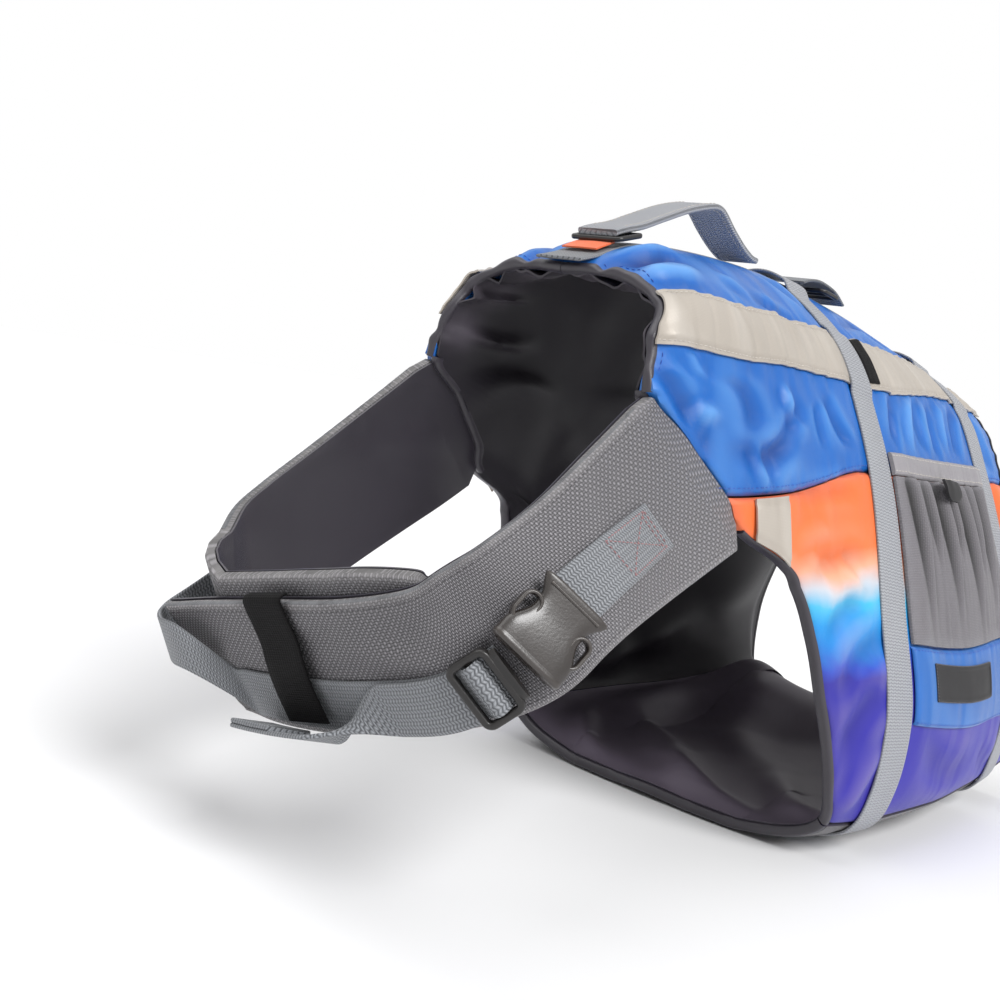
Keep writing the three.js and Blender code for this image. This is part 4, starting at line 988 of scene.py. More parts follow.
def bodyLining():
    top = wall["belly"] - 0.012
    grid = wallGrid([fixed(-top), fixed(top)], [lambda at: wallFront(at) + 0.2, wallTail], 190, 96)
    level, y = grid["level"], grid["y"]
    neck = 1 - smoothStep(plainLevel(level), 3.0, 3.9)
    waves = ripple(level * levelSize, 1.9, liningLook["pitch"])
    out = wall["liningOut"] + liningFolds(level, y, liningCreases)
    puckers = liningLook["gather"] * bump(grid["front"] - 5, liningLook["reach"]) * np.maximum(waves, -0.2)
    out = out - neck * puckers
    out = out + 3.6 * thinEdge(level, grid["front"]) * smoothStep(-waves * neck, -1.5, 0.5)
    out = np.minimum(out, -6.0)
    calm = smoothStep(grid["side"], 0, 12) * smoothStep(wall["tail"] - y, 4, 24)
    out = mix(wall["liningOut"], out, calm) + 4.2 * legEdge(level, y) - cornerSwell(level, y)
    upper, lower = bodyPoint(level, y, out), bodyPoint(level, y, out - wall["lining"])
    # painted highlight along the gathered neck edge, passed to the material as the rim value
    lit = neck * bump(grid["front"] - 14, 15) * (0.75 + 0.35 * np.sin(level * 5.2))
    piece = slabPiece("lining_body", upper, lower, grid["uv"], lit)
    dress(piece, "dark_lining", bodySatinPaintedDarker, "body_lining")


bodyLining()

# Lining inside the belly, with the long soft folds that show through the leg opening; its satin is painted
# lighter for the light that reaches it.
bellyLiningFolds = [
    # level and place of both ends, half width, height of the fold, bow
    (7.2, -40, 8.6, 60, 10, 7.0, 10), (7.6, -46, 9.6, 0, 8, 6.0, 8), (8.6, -46, 10.4, 50, 12, 8.0, -9),
    (9.6, -46, 10.6, 20, 8, 6.5, 6), (7.3, 10, 8.2, 120, 12, 7.0, -10), (10.2, 20, 10.6, 130, 14, 9.0, 6),
    (8.9, 50, 9.8, 160, 16, 8.0, 9), (9.4, 110, 10.6, 190, 26, 12.0, 4), (7.6, 130, 8.8, 196, 20, 9.0, -6),
]


def bellyLining():
    levels = np.linspace(wall["belly"] + 0.006, 18 - wall["belly"] - 0.006, 110)
    level, r = np.meshgrid(levels, np.linspace(0, 1, 90))
    y = mix(wallFront(level), wallTail(level), r)
    folds = liningFolds(level, y, bellyLiningFolds)
    near = smoothStep(y - y[0], 0, 16) * smoothStep(np.minimum(level - 7, 11 - level) * levelSize, 0, 16)
    near = near * smoothStep(wall["tail"] - y, 4, 26)
    out = wall["liningOut"] - np.abs(folds) * near + 4.2 * legEdge(level, y) - cornerSwell(level, y)
    upper, lower = bodyPoint(level, y, out), bodyPoint(level, y, out - wall["lining"])
    uv = np.stack([level * levelSize, y], -1) * 0.001
    piece = slabPiece("lining_belly", upper, lower, uv, bump(y - y[0], 5))
    dress(piece, "dark_lining", bellySatinPaintedLighter, "belly_lining")


bellyLining()


# Way into the cloth from an edge, square to it: change of level and of place for each millimetre.
def edgeInward(level, edge):
    rise = (edge(level + 0.004) - edge(level - 0.004)) / (0.008 * levelSize)
    long = np.sqrt(1 + rise**2)
    return -rise / long / levelSize, 1 / long


# Bindings: folded tape round the wall's rim. The section is rounded towards the edge.
def bindingPiece(name, levels, outerEdge, innerEdge, depth, material, slotName, nodes, isLoop=False,
                 edge=frontAt, direction=1, square=0.6):
    turns = np.linspace(0, np.pi, 11)
    level = np.asarray(levels, float)[:, None]
    middle, half = (outerEdge + innerEdge) / 2, (outerEdge - innerEdge) / 2
    out = middle + half * np.sign(np.cos(turns)) * np.abs(np.cos(turns)) ** square
    back = depth * (1 - np.sin(turns) ** square)
    out = np.concatenate([out, [innerEdge + 0.6, outerEdge - 0.6]])[None]
    back = np.concatenate([back, [depth, depth]])[None]
    aside, behind = edgeInward(level, edge)
    back = direction * back * mix(0.3, 1, behind)
    y = edge(level) + back * behind
    level = level + back * aside
    folds = bodyFolds(level, y) * smoothStep(out, innerEdge, outerEdge)
    sections = bodyPoint(level, y, out + folds)
    piece = sweptPiece(name, sections, isLoop, sharp=70, rim=np.full(sections.shape[:2], 0.6).ravel())
    return dress(piece, slotName, material, *nodes)


innermost = wall["liningOut"] - wall["lining"]
for side, sign in (("left", 1), ("right", -1)):
    levels = np.concatenate([np.linspace(4.84, 5.1, 60), np.linspace(5.12, 6.985, 80)])
    bindingPiece(f"binding_leg_{side}", sign * levels, -0.8, -7.3,
                 3.0, satin, "dark_binding", [f"leg_binding_{side}"], square=0.7)
    bindingPiece(f"edge_neck_{side}", sign * np.linspace(0.005, 3.8, 170), -2.6, -8.2,
                 3.2, satin, "dark_lining", [f"neck_binding_{side}"], square=0.9)
    bindingPiece(f"seam_neck_{side}", sign * np.linspace(3.78, 4.84, 60), -6.5, -12.2,
                 5.0, satin, "dark_lining", [], square=0.8)
bindingPiece("hem_belly", np.linspace(7.012, 10.988, 120), -0.8, -7.3,
             3.0, satin, "dark_binding", ["belly_hem"], square=0.8)
bindingPiece("binding_tail", np.linspace(-9, 9, 361)[:-1], 0.0, innermost,
             3.0, bindingCloth, "dark_binding", ["tail_binding"], isLoop=True,
             edge=fixed(wall["tail"]), direction=-1, square=0.5)
print("linings and bindings made")

# Reflective strips over the seams, stitched along both edges and gathered between.
tape = {"gap": 0.8, "thick": 0.8, "hem": 2.4, "pucker": 0.55}


def tapePiece(name, levels, places, cols, rows, node, sign):
    grid = wallGrid(levels, places, cols, rows)
    level, y = grid["level"], grid["y"]
    waves = 0.35 * bump(np.minimum(grid["side"], 12) - 8, 9) * ripple(y, 9 + sign, 15)
    waves = waves + 0.12 * ripple(y, 3 + sign, 6)
    calm = 1 - sum(0.8 * bump(y - place, 14) for place in straps.values())
    loose = smoothStep(grid["side"], 0, 3) * calm
    pucker = -tape["pucker"] * bump(grid["side"] - tape["hem"], 1.1)
    out = bodyFolds(level, y) + tape["gap"] + 0.35 + (waves + 0.5) * loose + pucker
    out = out - 2.8 * thinEdge(level, grid["front"])
    upper, lower = (bodyPoint(level, y, out + k) for k in (0.5, -0.5))
    piece = slabPiece(name, upper, lower, grid["uv"], bump(grid["side"] - tape["hem"], 1.5))
    dress(piece, "reflective_tape", tapeCloth, node)
    return grid, out


# Lower end of the leg patch: it runs out to the edge of the leg opening.
def patchFoot(y):
    return smoothThrough([-133, -110, -97], [4.87, 4.93, 5.07], y)


for side, sign in (("left", 1), ("right", -1)):
    grid, out = tapePiece(
        f"strip_{side}", [lambda y, k=sign: k * stripTop(y), lambda y, k=sign: k * stripFoot(y)],
        [lambda at: frontAt(at) + 1, fixed(wall["tail"] - 1)], 30, 300, f"reflective_strip_{side}",
        sign)
    for column in (2, -3):
        sewColumn("grey", grid, out + 0.55, column)
    tapePiece(
        f"patch_leg_{side}",
        [lambda y, k=sign: k * (printSeam(y) + 0.02), lambda y, k=sign: k * patchFoot(y)],
        [fixed(-133), fixed(-107)], 16, 16, f"leg_patch_{side}", sign)
print("reflective strips made")

# Sewn seams of the outer cloth.
ys = np.linspace(-196, 206, 300)
for sign in (1, -1):
    sewOnBody("blue", sign * (printSeam(ys) - 0.07), ys, 0.0)
    run = np.linspace(0.62, 3.75, 150)
    for part in (run[run < 1.7], run[run > 3.05]):
        sewOnBody("blue", sign * part, frontAt(part * sign) + 6.5, -2.0)

def webbingPiece(name, rows, *nodes, material=webbingCloth, thickness=webbing["thick"], turned=1):
    return dress(ribbonPiece(name, rows, thickness, turned), "webbing", material, *nodes)


# Body straps: webbing all round, over the strips and into the belly's troughs.
strapLook = {"gap": 0.7, "overTape": 1.5, "overSpine": 2.0, "sway": 0.9}


def strapOut(level, place):
    at = plainLevel(level)
    y = np.full_like(at, place)
    top, foot = stripTop(y), stripFoot(y)
    onTape = smoothStep(at, top - 0.16, top) * (1 - smoothStep(at, foot, foot + 0.16))
    onSpine = 1 - smoothStep(at, 0.5, 0.8)
    out = bodyFolds(level, y) + strapLook["gap"]
    out = out + strapLook["overTape"] * onTape + strapLook["overSpine"] * onSpine
    return mix(out, -webbing["thick"] - 0.3, sunkBelow(level))


for name, place in straps.items():
    level = np.linspace(-8.995, 8.995, 420)
    sway = strapLook["sway"] * np.sin(level * 1.9 + place) * (1 - smoothStep(np.abs(level), 6.5, 7.1))
    rows = np.stack([bodyPoint(level, place + sway + k * webbing["width"] / 2, strapOut(level, place))
                     for k in (-1, 1)], 1)
    webbingPiece(f"strap_{name}", rows, f"body_strap_{name}", material=strapCloth)
print("body straps made")


# Spine webbing, the grab handle and the two slider frames.
def spineHeight(y):
    return surfacePoint(0.0, y)[..., 2]


def spineRows(y, lift):
    y, lift = np.asarray(y, float), np.asarray(lift, float)
    height = spineHeight(y) + lift
    half = webbing["width"] / 2
    return np.stack([np.stack([0 * y + half, y, height], -1), np.stack([0 * y - half, y, height], -1)], 1)


ys = np.linspace(-197.5, 205, 240)
rows = np.stack([bodyPoint(0 * ys + k * 0.446, ys, 0.5 + 0 * ys) for k in (-1, 1)], 1)
webbingPiece("webbing_spine", rows, "spine_webbing")
handlePath = [(-171, 6), (-152, 6.8), (-134, 12), (-114, 18.5), (-98, 22.5), (-90, 23.5), (-84, 21.5),
              (-74, 14.5), (-62, 7.5), (-52, 3.4), (-46, 2.6)]
path = alongPath(handlePath, 130)
rows = spineRows(path[:, 0], path[:, 1])
webbingPiece("handle", rows, "grab_handle", material=strapCloth, thickness=3.2)
lift = unit(np.cross(np.gradient(rows.mean(1), axis=0), rows[:, 1] - rows[:, 0]))
for share in (0.1, 0.9):
    line = mix(rows[:, 0], rows[:, 1], share)
    sew("grey", line[8:] + lift[8:] * 3.25, lift[8:], pitch=3.2)
    sew("grey", line[8:] - lift[8:] * 0.05, -lift[8:], pitch=3.2)
path = alongPath([(6, 3.1), (14, 6.4), (24, 8.4), (36, 8.2), (45, 6.8), (55, 2.8)], 50)
webbingPiece("loop_rear", spineRows(path[:, 0], path[:, 1]), "rear_loop")


def roundedLoop(width, length, corner, count=12):
    points = []
    for cx, cy, start in ((1, -1, -90), (1, 1, 0), (-1, 1, 90), (-1, -1, 180)):
        for k in range(count + 1):
            angle = math.radians(start + 90 * k / count)
            points.append((cx * (width / 2 - corner) + corner * math.cos(angle),
                           cy * (length / 2 - corner) + corner * math.sin(angle)))
    return np.array(points)


# A bar of rounded section that follows a flat line; wide in the plane, high across it.
def barSections(points, wide, high, isLoop):
    points = np.asarray(points, float)
    if isLoop:
        along = np.roll(points, -1, 0) - np.roll(points, 1, 0)
    else:
        along = np.gradient(points, axis=0)
    along = unit(along)
    side = np.stack([-along[:, 1], along[:, 0]], -1)
    turns = np.arange(12) * np.pi / 6
    power = 0.7
    c = np.sign(np.cos(turns)) * np.abs(np.cos(turns)) ** power * wide / 2
    s = np.sign(np.sin(turns)) * np.abs(np.sin(turns)) ** power * high / 2
    flat = points[:, None] + side[:, None] * c[None, :, None]
    return np.concatenate([flat, np.broadcast_to(s[None, :, None], flat.shape[:2] + (1,))], -1)


def seatPoints(points, origin, xAxis, yAxis, zAxis):
    return origin + points[..., :1] * xAxis + points[..., 1:2] * yAxis + points[..., 2:3] * zAxis


def seatedBar(name, line, wide, high, isLoop, origin, axes, lift=0.0):
    sections = barSections(line, wide, high, isLoop) + [0, 0, lift]
    return sweptPiece(name, seatPoints(sections, origin, *axes), isLoop, 70)


def joinPieces(name, parts):
    bpy.ops.object.select_all(action="DESELECT")
    for part in parts:
        part.select_set(True)
    bpy.context.view_layer.objects.active = parts[0]
    bpy.ops.object.join()
    parts[0].name = name
    return parts[0]


def sliderFrame(name, width, length, rim, thick, origin, axes, node):
    loop = roundedLoop(width - rim, length - rim, 2.2)
    ring = seatedBar(name + "_ring", loop, rim, thick, True, origin, axes)
    across = np.stack([np.linspace(-width / 2 + rim * 0.7, width / 2 - rim * 0.7, 16), np.zeros(16)], -1)
    bar = seatedBar(name + "_bar", across, rim, thick * 0.85, False, origin, axes)
    return dress(joinPieces(name, [ring, bar]), "black_plastic", framePlastic, node)


def spineAxes(y, tilt=0.0):
    angle = math.atan2(spineHeight(np.array(y + 4.0)) - spineHeight(np.array(y - 4.0)), 8) + tilt
    return [np.array([1.0, 0, 0]), np.array([0, math.cos(angle), math.sin(angle)]),
            np.array([0, -math.sin(angle), math.cos(angle)])]


for name, y, lift, tilt, node in (("slider_handle", -164, 4.1, -0.03, "handle_slider"),
                                  ("slider_rear", 33, 4.0, 0.0, "rear_slider")):
    origin = np.array([0, y, float(spineHeight(np.array(float(y)))) + lift])
    sliderFrame(name, 33, 20, 3.2, 2.6, origin, spineAxes(y, tilt), node)
s, r = np.meshgrid(np.linspace(-11, 11, 12), np.linspace(-7, 7, 9))
axes = spineAxes(-177)
origin = np.array([0, -177, float(spineHeight(np.array(-177.0))) + 2.8])
crown = 0.5 * bump(s, 8) * bump(r, 6)
patch = [seatPoints(np.stack([s, r, crown + k], -1), origin, *axes) for k in (0.4, -0.4)]
piece = slabPiece("patch_accent", patch[0], patch[1], np.stack([s, r], -1) * 0.001, bump(7 - np.abs(r), 2))
dress(piece, "accent_cloth", accentCloth, "accent_patch")
print("spine and handle made")

# Pocket on the left side: flat band, gathered cloth with deep pleats, blue lower piece.
pocket = {"from": 2.0, "to": 148.0, "swell": 2.4, "lift": 3.4, "slit": 1.8}


def pocketShare(y):
    return (y - pocket["from"]) / (pocket["to"] - pocket["from"])


def pocketLine(front, rear):
    return lambda y: mix(front, rear, pocketShare(np.asarray(y, float)))


bandTop, bandFoot = pocketLine(3.36, 3.08), pocketLine(3.66, 3.46)
clothFoot, lowerFoot = pocketLine(5.3, 5.38), pocketLine(5.98, 6.16)
pocketPlaces = [fixed(pocket["from"]), fixed(pocket["to"])]
pleats = [
    # share along the pocket, drift going down, half width of the fold, height, how far down it goes
    (0.12, 0.06, 0.03, 3.4, 1.0), (0.25, 0.04, 0.022, 2.4, 0.6), (0.36, 0.07, 0.03, 3.6, 0.95),
    (0.48, 0.02, 0.022, 2.4, 0.55), (0.6, 0.05, 0.034, 3.8, 1.05), (0.74, 0.0, 0.026, 2.8, 0.7),
    (0.87, -0.03, 0.03, 3.2, 0.9),
]


# How far each pleat stands out here, and how deep the slit in front of it is.
def pleatForms(level, y):
    share = pocketShare(y)
    down = (level - bandFoot(y)) / (clothFoot(y) - bandFoot(y))
    ridge, slit = np.zeros_like(share), np.zeros_like(share)
    for at, drift, width, height, reach in pleats:
        off = share - at - drift * down
        fade = (1 - 0.92 * smoothStep(down, 0.3, reach)) * smoothStep(down, -0.02, 0.05)
        thin = width * (1 - 0.45 * smoothStep(down, 0.2, reach))
        ridge += fade * height * bump(off, thin)
        beside = bump(off + 1.5 * thin, thin * 0.8) + 0.6 * bump(off - 1.6 * thin, thin * 0.6)
        slit += fade * (0.35 + 0.2 * height) * beside
    return ridge, np.clip(slit, 0, 1), down, share


def pleatLift(level, y):
    ridge, slit, down, share = pleatForms(level, y)
    lift = pocket["lift"] + ridge - pocket["slit"] * slit
    lift += pocket["swell"] * np.sin(np.pi * np.clip(share, 0, 1)) * np.sin(np.pi * np.clip(down, 0.02, 1))
    lift += 0.35 * ripple(y, 6.2, 12) * smoothStep(down, 0.55, 1) * (1 - smoothStep(down, 0.9, 1.02))
    return np.maximum(lift, 1.3)


def pocketPiece(name, levels, cols, rows, lift, slotName, material, node, isPleated=False):
    grid = wallGrid(levels, pocketPlaces, cols, rows)
    level, y = grid["level"], grid["y"]
    folds = bodyFolds(level, y)
    out = folds + lift(level, y, grid)
    upper = bodyPoint(level, y, out)
    lower = bodyPoint(level, y, np.minimum(folds + 0.9, out - 0.5))
    piece = slabPiece(name, upper, lower, grid["uv"], grid["rim"])
    if isPleated:
        # painted shade in the slits in front of the pleats
        paintFoldShading(piece, pleatForms(level, y)[1])
    dress(piece, slotName, material, node)
    return grid, out


band, bandOut = pocketPiece(
    "pocket_band_cloth", [bandTop, lambda y: bandFoot(y) - 0.01], 12, 110,
    lambda level, y, grid: 3.4 + 0.2 * ripple(y, 2.2, 9) + seamDrop(grid["side"], 2.5, 1.3),
    "coarse_grey_cloth", bandCloth, "pocket_band")
pocketPiece(
    "pocket_gathered_cloth", [lambda y: bandFoot(y) + 0.01, lambda y: clothFoot(y) - 0.01], 56, 190,
    lambda level, y, grid: pleatLift(level, y) + seamDrop(grid["end"], 2.5, 1.2),
    "pocket_cloth", pocketCloth, "pocket_cloth", True)
lower, lowerOut = pocketPiece(
    "pocket_lower_cloth", [lambda y: clothFoot(y) + 0.01, lowerFoot], 24, 120,
    lambda level, y, grid: 3.0 + 0.35 * ripple(y, 5.2, 11) * bump(grid["across"], 8)
    + seamDrop(grid["side"], 2.5, 1.4) + seamDrop(grid["end"], 2.5, 1.4),
    "pocket_blue", pocketBlue, "pocket_lower")
for thread, grid, out, column in (("grey", band, bandOut, 2), ("grey", band, bandOut, -3),
                                  ("blue", lower, lowerOut, 1), ("blue", lower, lowerOut, -2)):
    sewColumn(thread, grid, out + 0.02, column)

# Bare rubber patch with a raised border, and the tabs on the strip and below the band.
grid = wallGrid([pocketLine(5.43, 5.57), pocketLine(5.75, 5.89)], [fixed(21), fixed(98)], 20, 70)
base = bodyFolds(grid["level"], grid["y"])
edge = np.minimum(grid["side"], grid["end"])
out = base + 3.7 + 0.55 * (1 - smoothStep(edge, 1.6, 2.2)) + seamDrop(edge, 0.6, 0.5)
piece = slabPiece("patch_rubber", bodyPoint(grid["level"], grid["y"], out),
                  bodyPoint(grid["level"], grid["y"], base + 2.9), grid["uv"])
dress(piece, "dark_rubber", rubber, "bare_patch")
for index in ((0, slice(None)), (-1, slice(None)), (slice(None), 0), (slice(None), -1)):
    sewOnBody("dark", grid["level"][index], grid["y"][index], 3.5, pitch=1.7, length=1.5, radius=0.4)


def stripTab():
    grid = wallGrid([lambda y: stripTop(y) + 0.03, lambda y: stripFoot(y) - 0.08],
                    [fixed(-0.5), fixed(11.5)], 24, 12)
    base = bodyFolds(grid["level"], grid["y"])
    edge = np.minimum(grid["side"], grid["end"])
    out = base + 3.3 + seamDrop(edge, 1.0, 0.7) + 0.25 * bump(grid["across"] - 14, 5)
    piece = slabPiece("tab_strip", bodyPoint(grid["level"], grid["y"], out),
                      bodyPoint(grid["level"], grid["y"], base + 2.2), grid["uv"], grid["rim"])
    dress(piece, "dark_binding", elasticCloth, "strip_tab")


stripTab()


def bandPull():
    s, r = np.meshgrid(np.linspace(-1, 1, 18), np.linspace(0, 1, 12))
    width = 10.5 * np.sqrt(np.clip(1 - np.clip((r - 0.55) / 0.5, 0, 1) ** 2, 0.02, 1))
    y = 59 + s * width
    level = bandFoot(59.0) + 0.02 + r * 13.0 / levelSize
    out = 11.4 + bodyFolds(level, y) + 0.9 * np.sin(np.pi * np.clip(r, 0, 1)) - 0.6 * s**2
    piece = slabPiece("pull_band", bodyPoint(level, y, out), bodyPoint(level, y, out - 1.6),
                      np.stack([s * 5, r * 12], -1) * 0.001)
    dress(piece, "dark_rubber", rubber)


bandPull()
print("pocket made")


# Neck band: a point by row number, share across (0 top, 1 bottom) and distance out of the face.
def rowsPoint(rows, s, v):
    s, v = np.broadcast_arrays(np.asarray(s, float), np.asarray(v, float))
    table = smoothThrough(np.arange(len(rows)), rows.reshape(len(rows), 6), s.ravel()).reshape(-1, 2, 3)
    flat = v.ravel()[:, None]
    return (table[:, 0] * (1 - flat) + table[:, 1] * flat).reshape(s.shape + (3,))


def rowsFace(rows, facing):
    end = len(rows) - 1

    def face(s, v, out):
        a = np.clip(s, 0.02, end - 0.02)
        along = rowsPoint(rows, a + 0.02, v) - rowsPoint(rows, a - 0.02, v)
        across = rowsPoint(rows, a, v + 0.02) - rowsPoint(rows, a, v - 0.02)
        normal = unit(np.cross(along, across)) * facing
        return rowsPoint(rows, s, v) + normal * np.asarray(out, float)[..., None]

    return face


nearFace, farFace = rowsFace(nearRows, 1), rowsFace(farRows, -1)
bandLook = {"pad": 6.0, "gap": 0.9}
bandWidth = 74.0


# The seam where a half of the neck band meets the body.
def seamOn(sign):
    def seam(v, out):
        level = mix(3.86, 4.8, v)
        return bodyPoint(sign * level, smoothThrough(frontLevels, frontPlaces, level) + 1.7, out)

    return seam


bandCreases = [
    # row number and share across of both ends, half width in mm, depth, bow
    (0.4, 0.75, 1.4, 0.95, 6, -1.2, 2), (0.6, 0.1, 1.6, 0.4, 8, -1.0, 3), (1.2, 0.85, 2.4, 0.98, 5, -1.0, 2),
    (4.4, 0.15, 5.6, 0.4, 7, -1.6, 3), (5.0, 0.55, 6.2, 0.35, 7, 1.2, 3), (6.1, 0.2, 7.2, 0.45, 8, -1.6, 2),
    (7.6, 0.2, 8.6, 0.5, 7, -1.4, 3), (3.4, 0.05, 4.4, 0.25, 7, -1.2, 2), (8.2, 0.6, 8.9, 0.3, 6, 1.2, 2),
]


bandRowStep = 42.0  # millimetres from one row number to the next


def bandFolds(s, v):
    return creaseSum(bandCreases, s * bandRowStep, v * bandWidth, (bandRowStep, bandWidth),
                     (-0.15, 0.3), (0.65, 1.15))


def bandEdges(v):
    return np.minimum(v, 1 - v) * bandWidth


def bandGrid(steps, across, point, seam, out, seamOut):
    s, v = np.meshgrid(steps, across, indexing="ij")
    body = point(s, v, out(s, v))
    first = seam(across, seamOut(across))
    grid = np.concatenate([first[None], body])
    uv = np.stack([np.concatenate([0 * across[None], s * bandRowStep]),
                   np.concatenate([v[:1], v]) * bandWidth], -1) * 0.001
    rim = np.concatenate([bump(bandEdges(v[:1]), 3), bump(bandEdges(v), 3)])
    return grid, uv, rim


across = np.unique(np.concatenate([np.linspace(0, 1, 40), [0.006, 0.014, 0.986, 0.994]]))
nearSteps = np.concatenate([[0.25], np.linspace(0.42, 9, 150)])


def puff(s, v):
    ends = smoothStep(9 - s, 0, 0.12)
    hem = -0.5 * bump(bandEdges(v) - 4.5, 1.2)  # the row of stitches along the edge
    return seamDrop(bandEdges(v), 3.2, 2.6) + 0.9 * np.sin(np.pi * v) * ends + hem + bandFolds(s, v)


def nearOuter(s, v):
    return puff(s, v) - 2.0 * (1 - smoothStep(9 - s, 0, 0.1))


def nearInner(s, v):
    return -bandLook["pad"] - seamDrop(bandEdges(v), 2.5, 1.2)


def seamOuter(v):
    return -1.0 + seamDrop(bandEdges(v), 3.2, 2.4)


def seamLevel(out):
    return lambda v: out + 0 * v


def nearGrid(out, seamOut, steps=nearSteps):
    return bandGrid(steps, across, nearFace, seamOn(1), out, seamOut)


upper, uv, rim = nearGrid(nearOuter, seamOuter)
piece = slabPiece("band_near", upper, nearGrid(nearInner, seamLevel(-7.0))[0], uv, rim)
dress(piece, "coarse_grey_cloth", oxford, "neck_band_near")


def liningOuter(out):
    return lambda s, v: out + 0 * v - 0.8 * np.abs(ripple(s * bandRowStep, 2.8, 38)) * np.sin(np.pi * v)


def liningSlab(name, grids, node):
    piece = slabPiece(name, grids[0][0], grids[1][0], grids[0][1], grids[0][2])
    dress(piece, "dark_lining", satin, node)


nearLiningOut = -bandLook["pad"] - bandLook["gap"]
liningSlab("lining_band_near", [
    nearGrid(liningOuter(nearLiningOut - k), seamLevel(-7.9 - k), nearSteps[::2]) for k in (0, 1)],
    "neck_lining_near")

# The far half turns at the front and runs back behind the near half, standing a little above it.
tuckedOut = nearLiningOut - 1 - bandLook["gap"]


def tuckShift(s):
    return mix(0.03, -0.14, smoothStep(s, 4.1, 6))


def farGrid(out, seamOut):
    firstSteps, lastSteps = np.linspace(0.3, 5, 80), np.linspace(7.8, 4.1, 60)
    grid, uv, rim = bandGrid(firstSteps, across, farFace, seamOn(-1), out, seamOut)
    s, v = np.meshgrid(lastSteps, across, indexing="ij")
    tucked = nearFace(s, v * 0.97 + tuckShift(s), tuckedOut + out(s * 0 + 2, v))
    more = np.stack([(5.3 + 7.8 - s) * bandRowStep, v * bandWidth], -1) * 0.001
    turn = []
    for share in (0.25, 0.5, 0.75):  # the turn at the front, bowed out a little
        bow = np.array([-3.0, -5.0, 0.0]) * 4 * share * (1 - share)
        turn.append(mix(grid[-1], tucked[0], share) + bow)
    turnUv = np.stack([mix(uv[-1], more[0], share) for share in (0.25, 0.5, 0.75)])
    rimRow = bump(bandEdges(v), 3)
    return (np.concatenate([grid, np.array(turn), tucked]), np.concatenate([uv, turnUv, more]),
            np.concatenate([rim, rimRow[:3], rimRow]))


def farOuter(s, v):
    waves = 0.4 - 0.8 * np.abs(ripple(s * bandRowStep, 4.4, 60))
    return seamDrop(bandEdges(v), 3.2, 2.4) + waves * np.sin(np.pi * v)


upper, uv, rim = farGrid(farOuter, seamOuter)
lowerGrid = farGrid(lambda s, v: -bandLook["pad"] + 0 * v, seamLevel(-7.0))[0]
piece = slabPiece("band_far", upper, lowerGrid, uv, rim)
dress(piece, "coarse_grey_cloth", oxford, "neck_band_far")
liningSlab("lining_band_far", [
    farGrid(lambda s, v, k=k: nearLiningOut - k + 0 * v, seamLevel(-7.9 - k)) for k in (0, 1)],
    "neck_lining_far")
print("neck band made")

# Rows of stitches along both edges of the near half, and an edge tape along the top of both halves.
s = np.linspace(0.35, 8.93, 320)
for share in (0.055, 0.945):
    at = np.full_like(s, share)
    points = nearFace(s, at, nearOuter(s, at) + 0.05)
    sew("dark", points, points - nearFace(s, at, nearOuter(s, at) - 1), pitch=3.2, length=2.3)


tapeRoll = {"share": 0.008, "out": -2.6, "wide": 0.7, "high": 1.5}


def edgePiping(name, face, steps):
    share, out = np.full_like(steps, tapeRoll["share"]), np.full_like(steps, tapeRoll["out"])
    centre = face(steps, share, out)
    up = unit(centre - face(steps, share, out - 1))
    side = unit(np.cross(up, unit(np.gradient(centre, axis=0))))
    turns = np.arange(10) * 2 * np.pi / 10
    wobble = 1 + 0.12 * np.sin(steps * 90) + 0.1 * np.sin(steps * 37)
    wide = np.cos(turns) * tapeRoll["wide"] * wobble[:, None]
    sections = centre[:, None] + side[:, None] * wide[..., None]
    sections = sections + up[:, None] * (np.sin(turns)[None, :, None] * tapeRoll["high"])
    piece = sweptPiece(name, sections, False, 80, np.full(sections.shape[:2], 0.8).ravel())
    dress(piece, "webbing", edgeTape)


edgePiping("edge_band_near", nearFace, np.linspace(0.3, 8.96, 420))
edgePiping("edge_band_far", farFace, np.linspace(0.3, 4.9, 240))

# Neck webbing: middle line on the near half as a share across, by row number.
lineRows = [1.2, 2.4, 3.15, 4.25, 5.5, 7, 8.4]
lineShares = [0.57, 0.59, 0.62, 0.69, 0.77, 0.73, 0.68]


def onBand(s, acrossBy, out):
    s = np.asarray(s, float)
    width = np.linalg.norm(rowsPoint(nearRows, s, 0.0) - rowsPoint(nearRows, s, 1.0), axis=-1)
    return nearFace(s, smoothThrough(lineRows, lineShares, s) + acrossBy / width, out + 0 * s)


def bandRow(s, out):
    return np.stack([onBand(s, -webbing["width"] / 2, out), onBand(s, webbing["width"] / 2, out)], -2)


patchRows = bandRow(np.linspace(1.02, 3.0, 76), 1.1)
webbingPiece("webbing_sewn", patchRows, "webbing_patch")


def patchStitches():
    start, end, half = 1.1, 1.78, 10
    t = np.linspace(0, 1, 40)
    along, across = mix(start, end, t), mix(-half, half, t)
    for s, acrossBy in ((along, -half + 0 * t), (along, half + 0 * t), (start + 0 * t, across),
                        (end + 0 * t, across), (along, across), (along, -across),
                        (start + 0.06 + 0 * t, 0.9 * across)):
        points = onBand(s, acrossBy, 1.1 + webbing["thick"] + 0.08)
        ups = onBand(s, acrossBy, 3.7) - onBand(s, acrossBy, 2.7)
        sew("rose", points, ups, pitch=2.6, length=1.9, radius=0.24)


patchStitches()

# The long webbing runs from the buckle round the front turn and back along the far half.
turnRows = np.array([
    [[-66, -338, 97], [-62, -328, 75]], [[-84, -336, 97], [-82, -326, 75]],
    [[-95, -326, 100], [-94, -316, 77]], [[-98, -310, 108], [-98, -300, 85]],
], float)


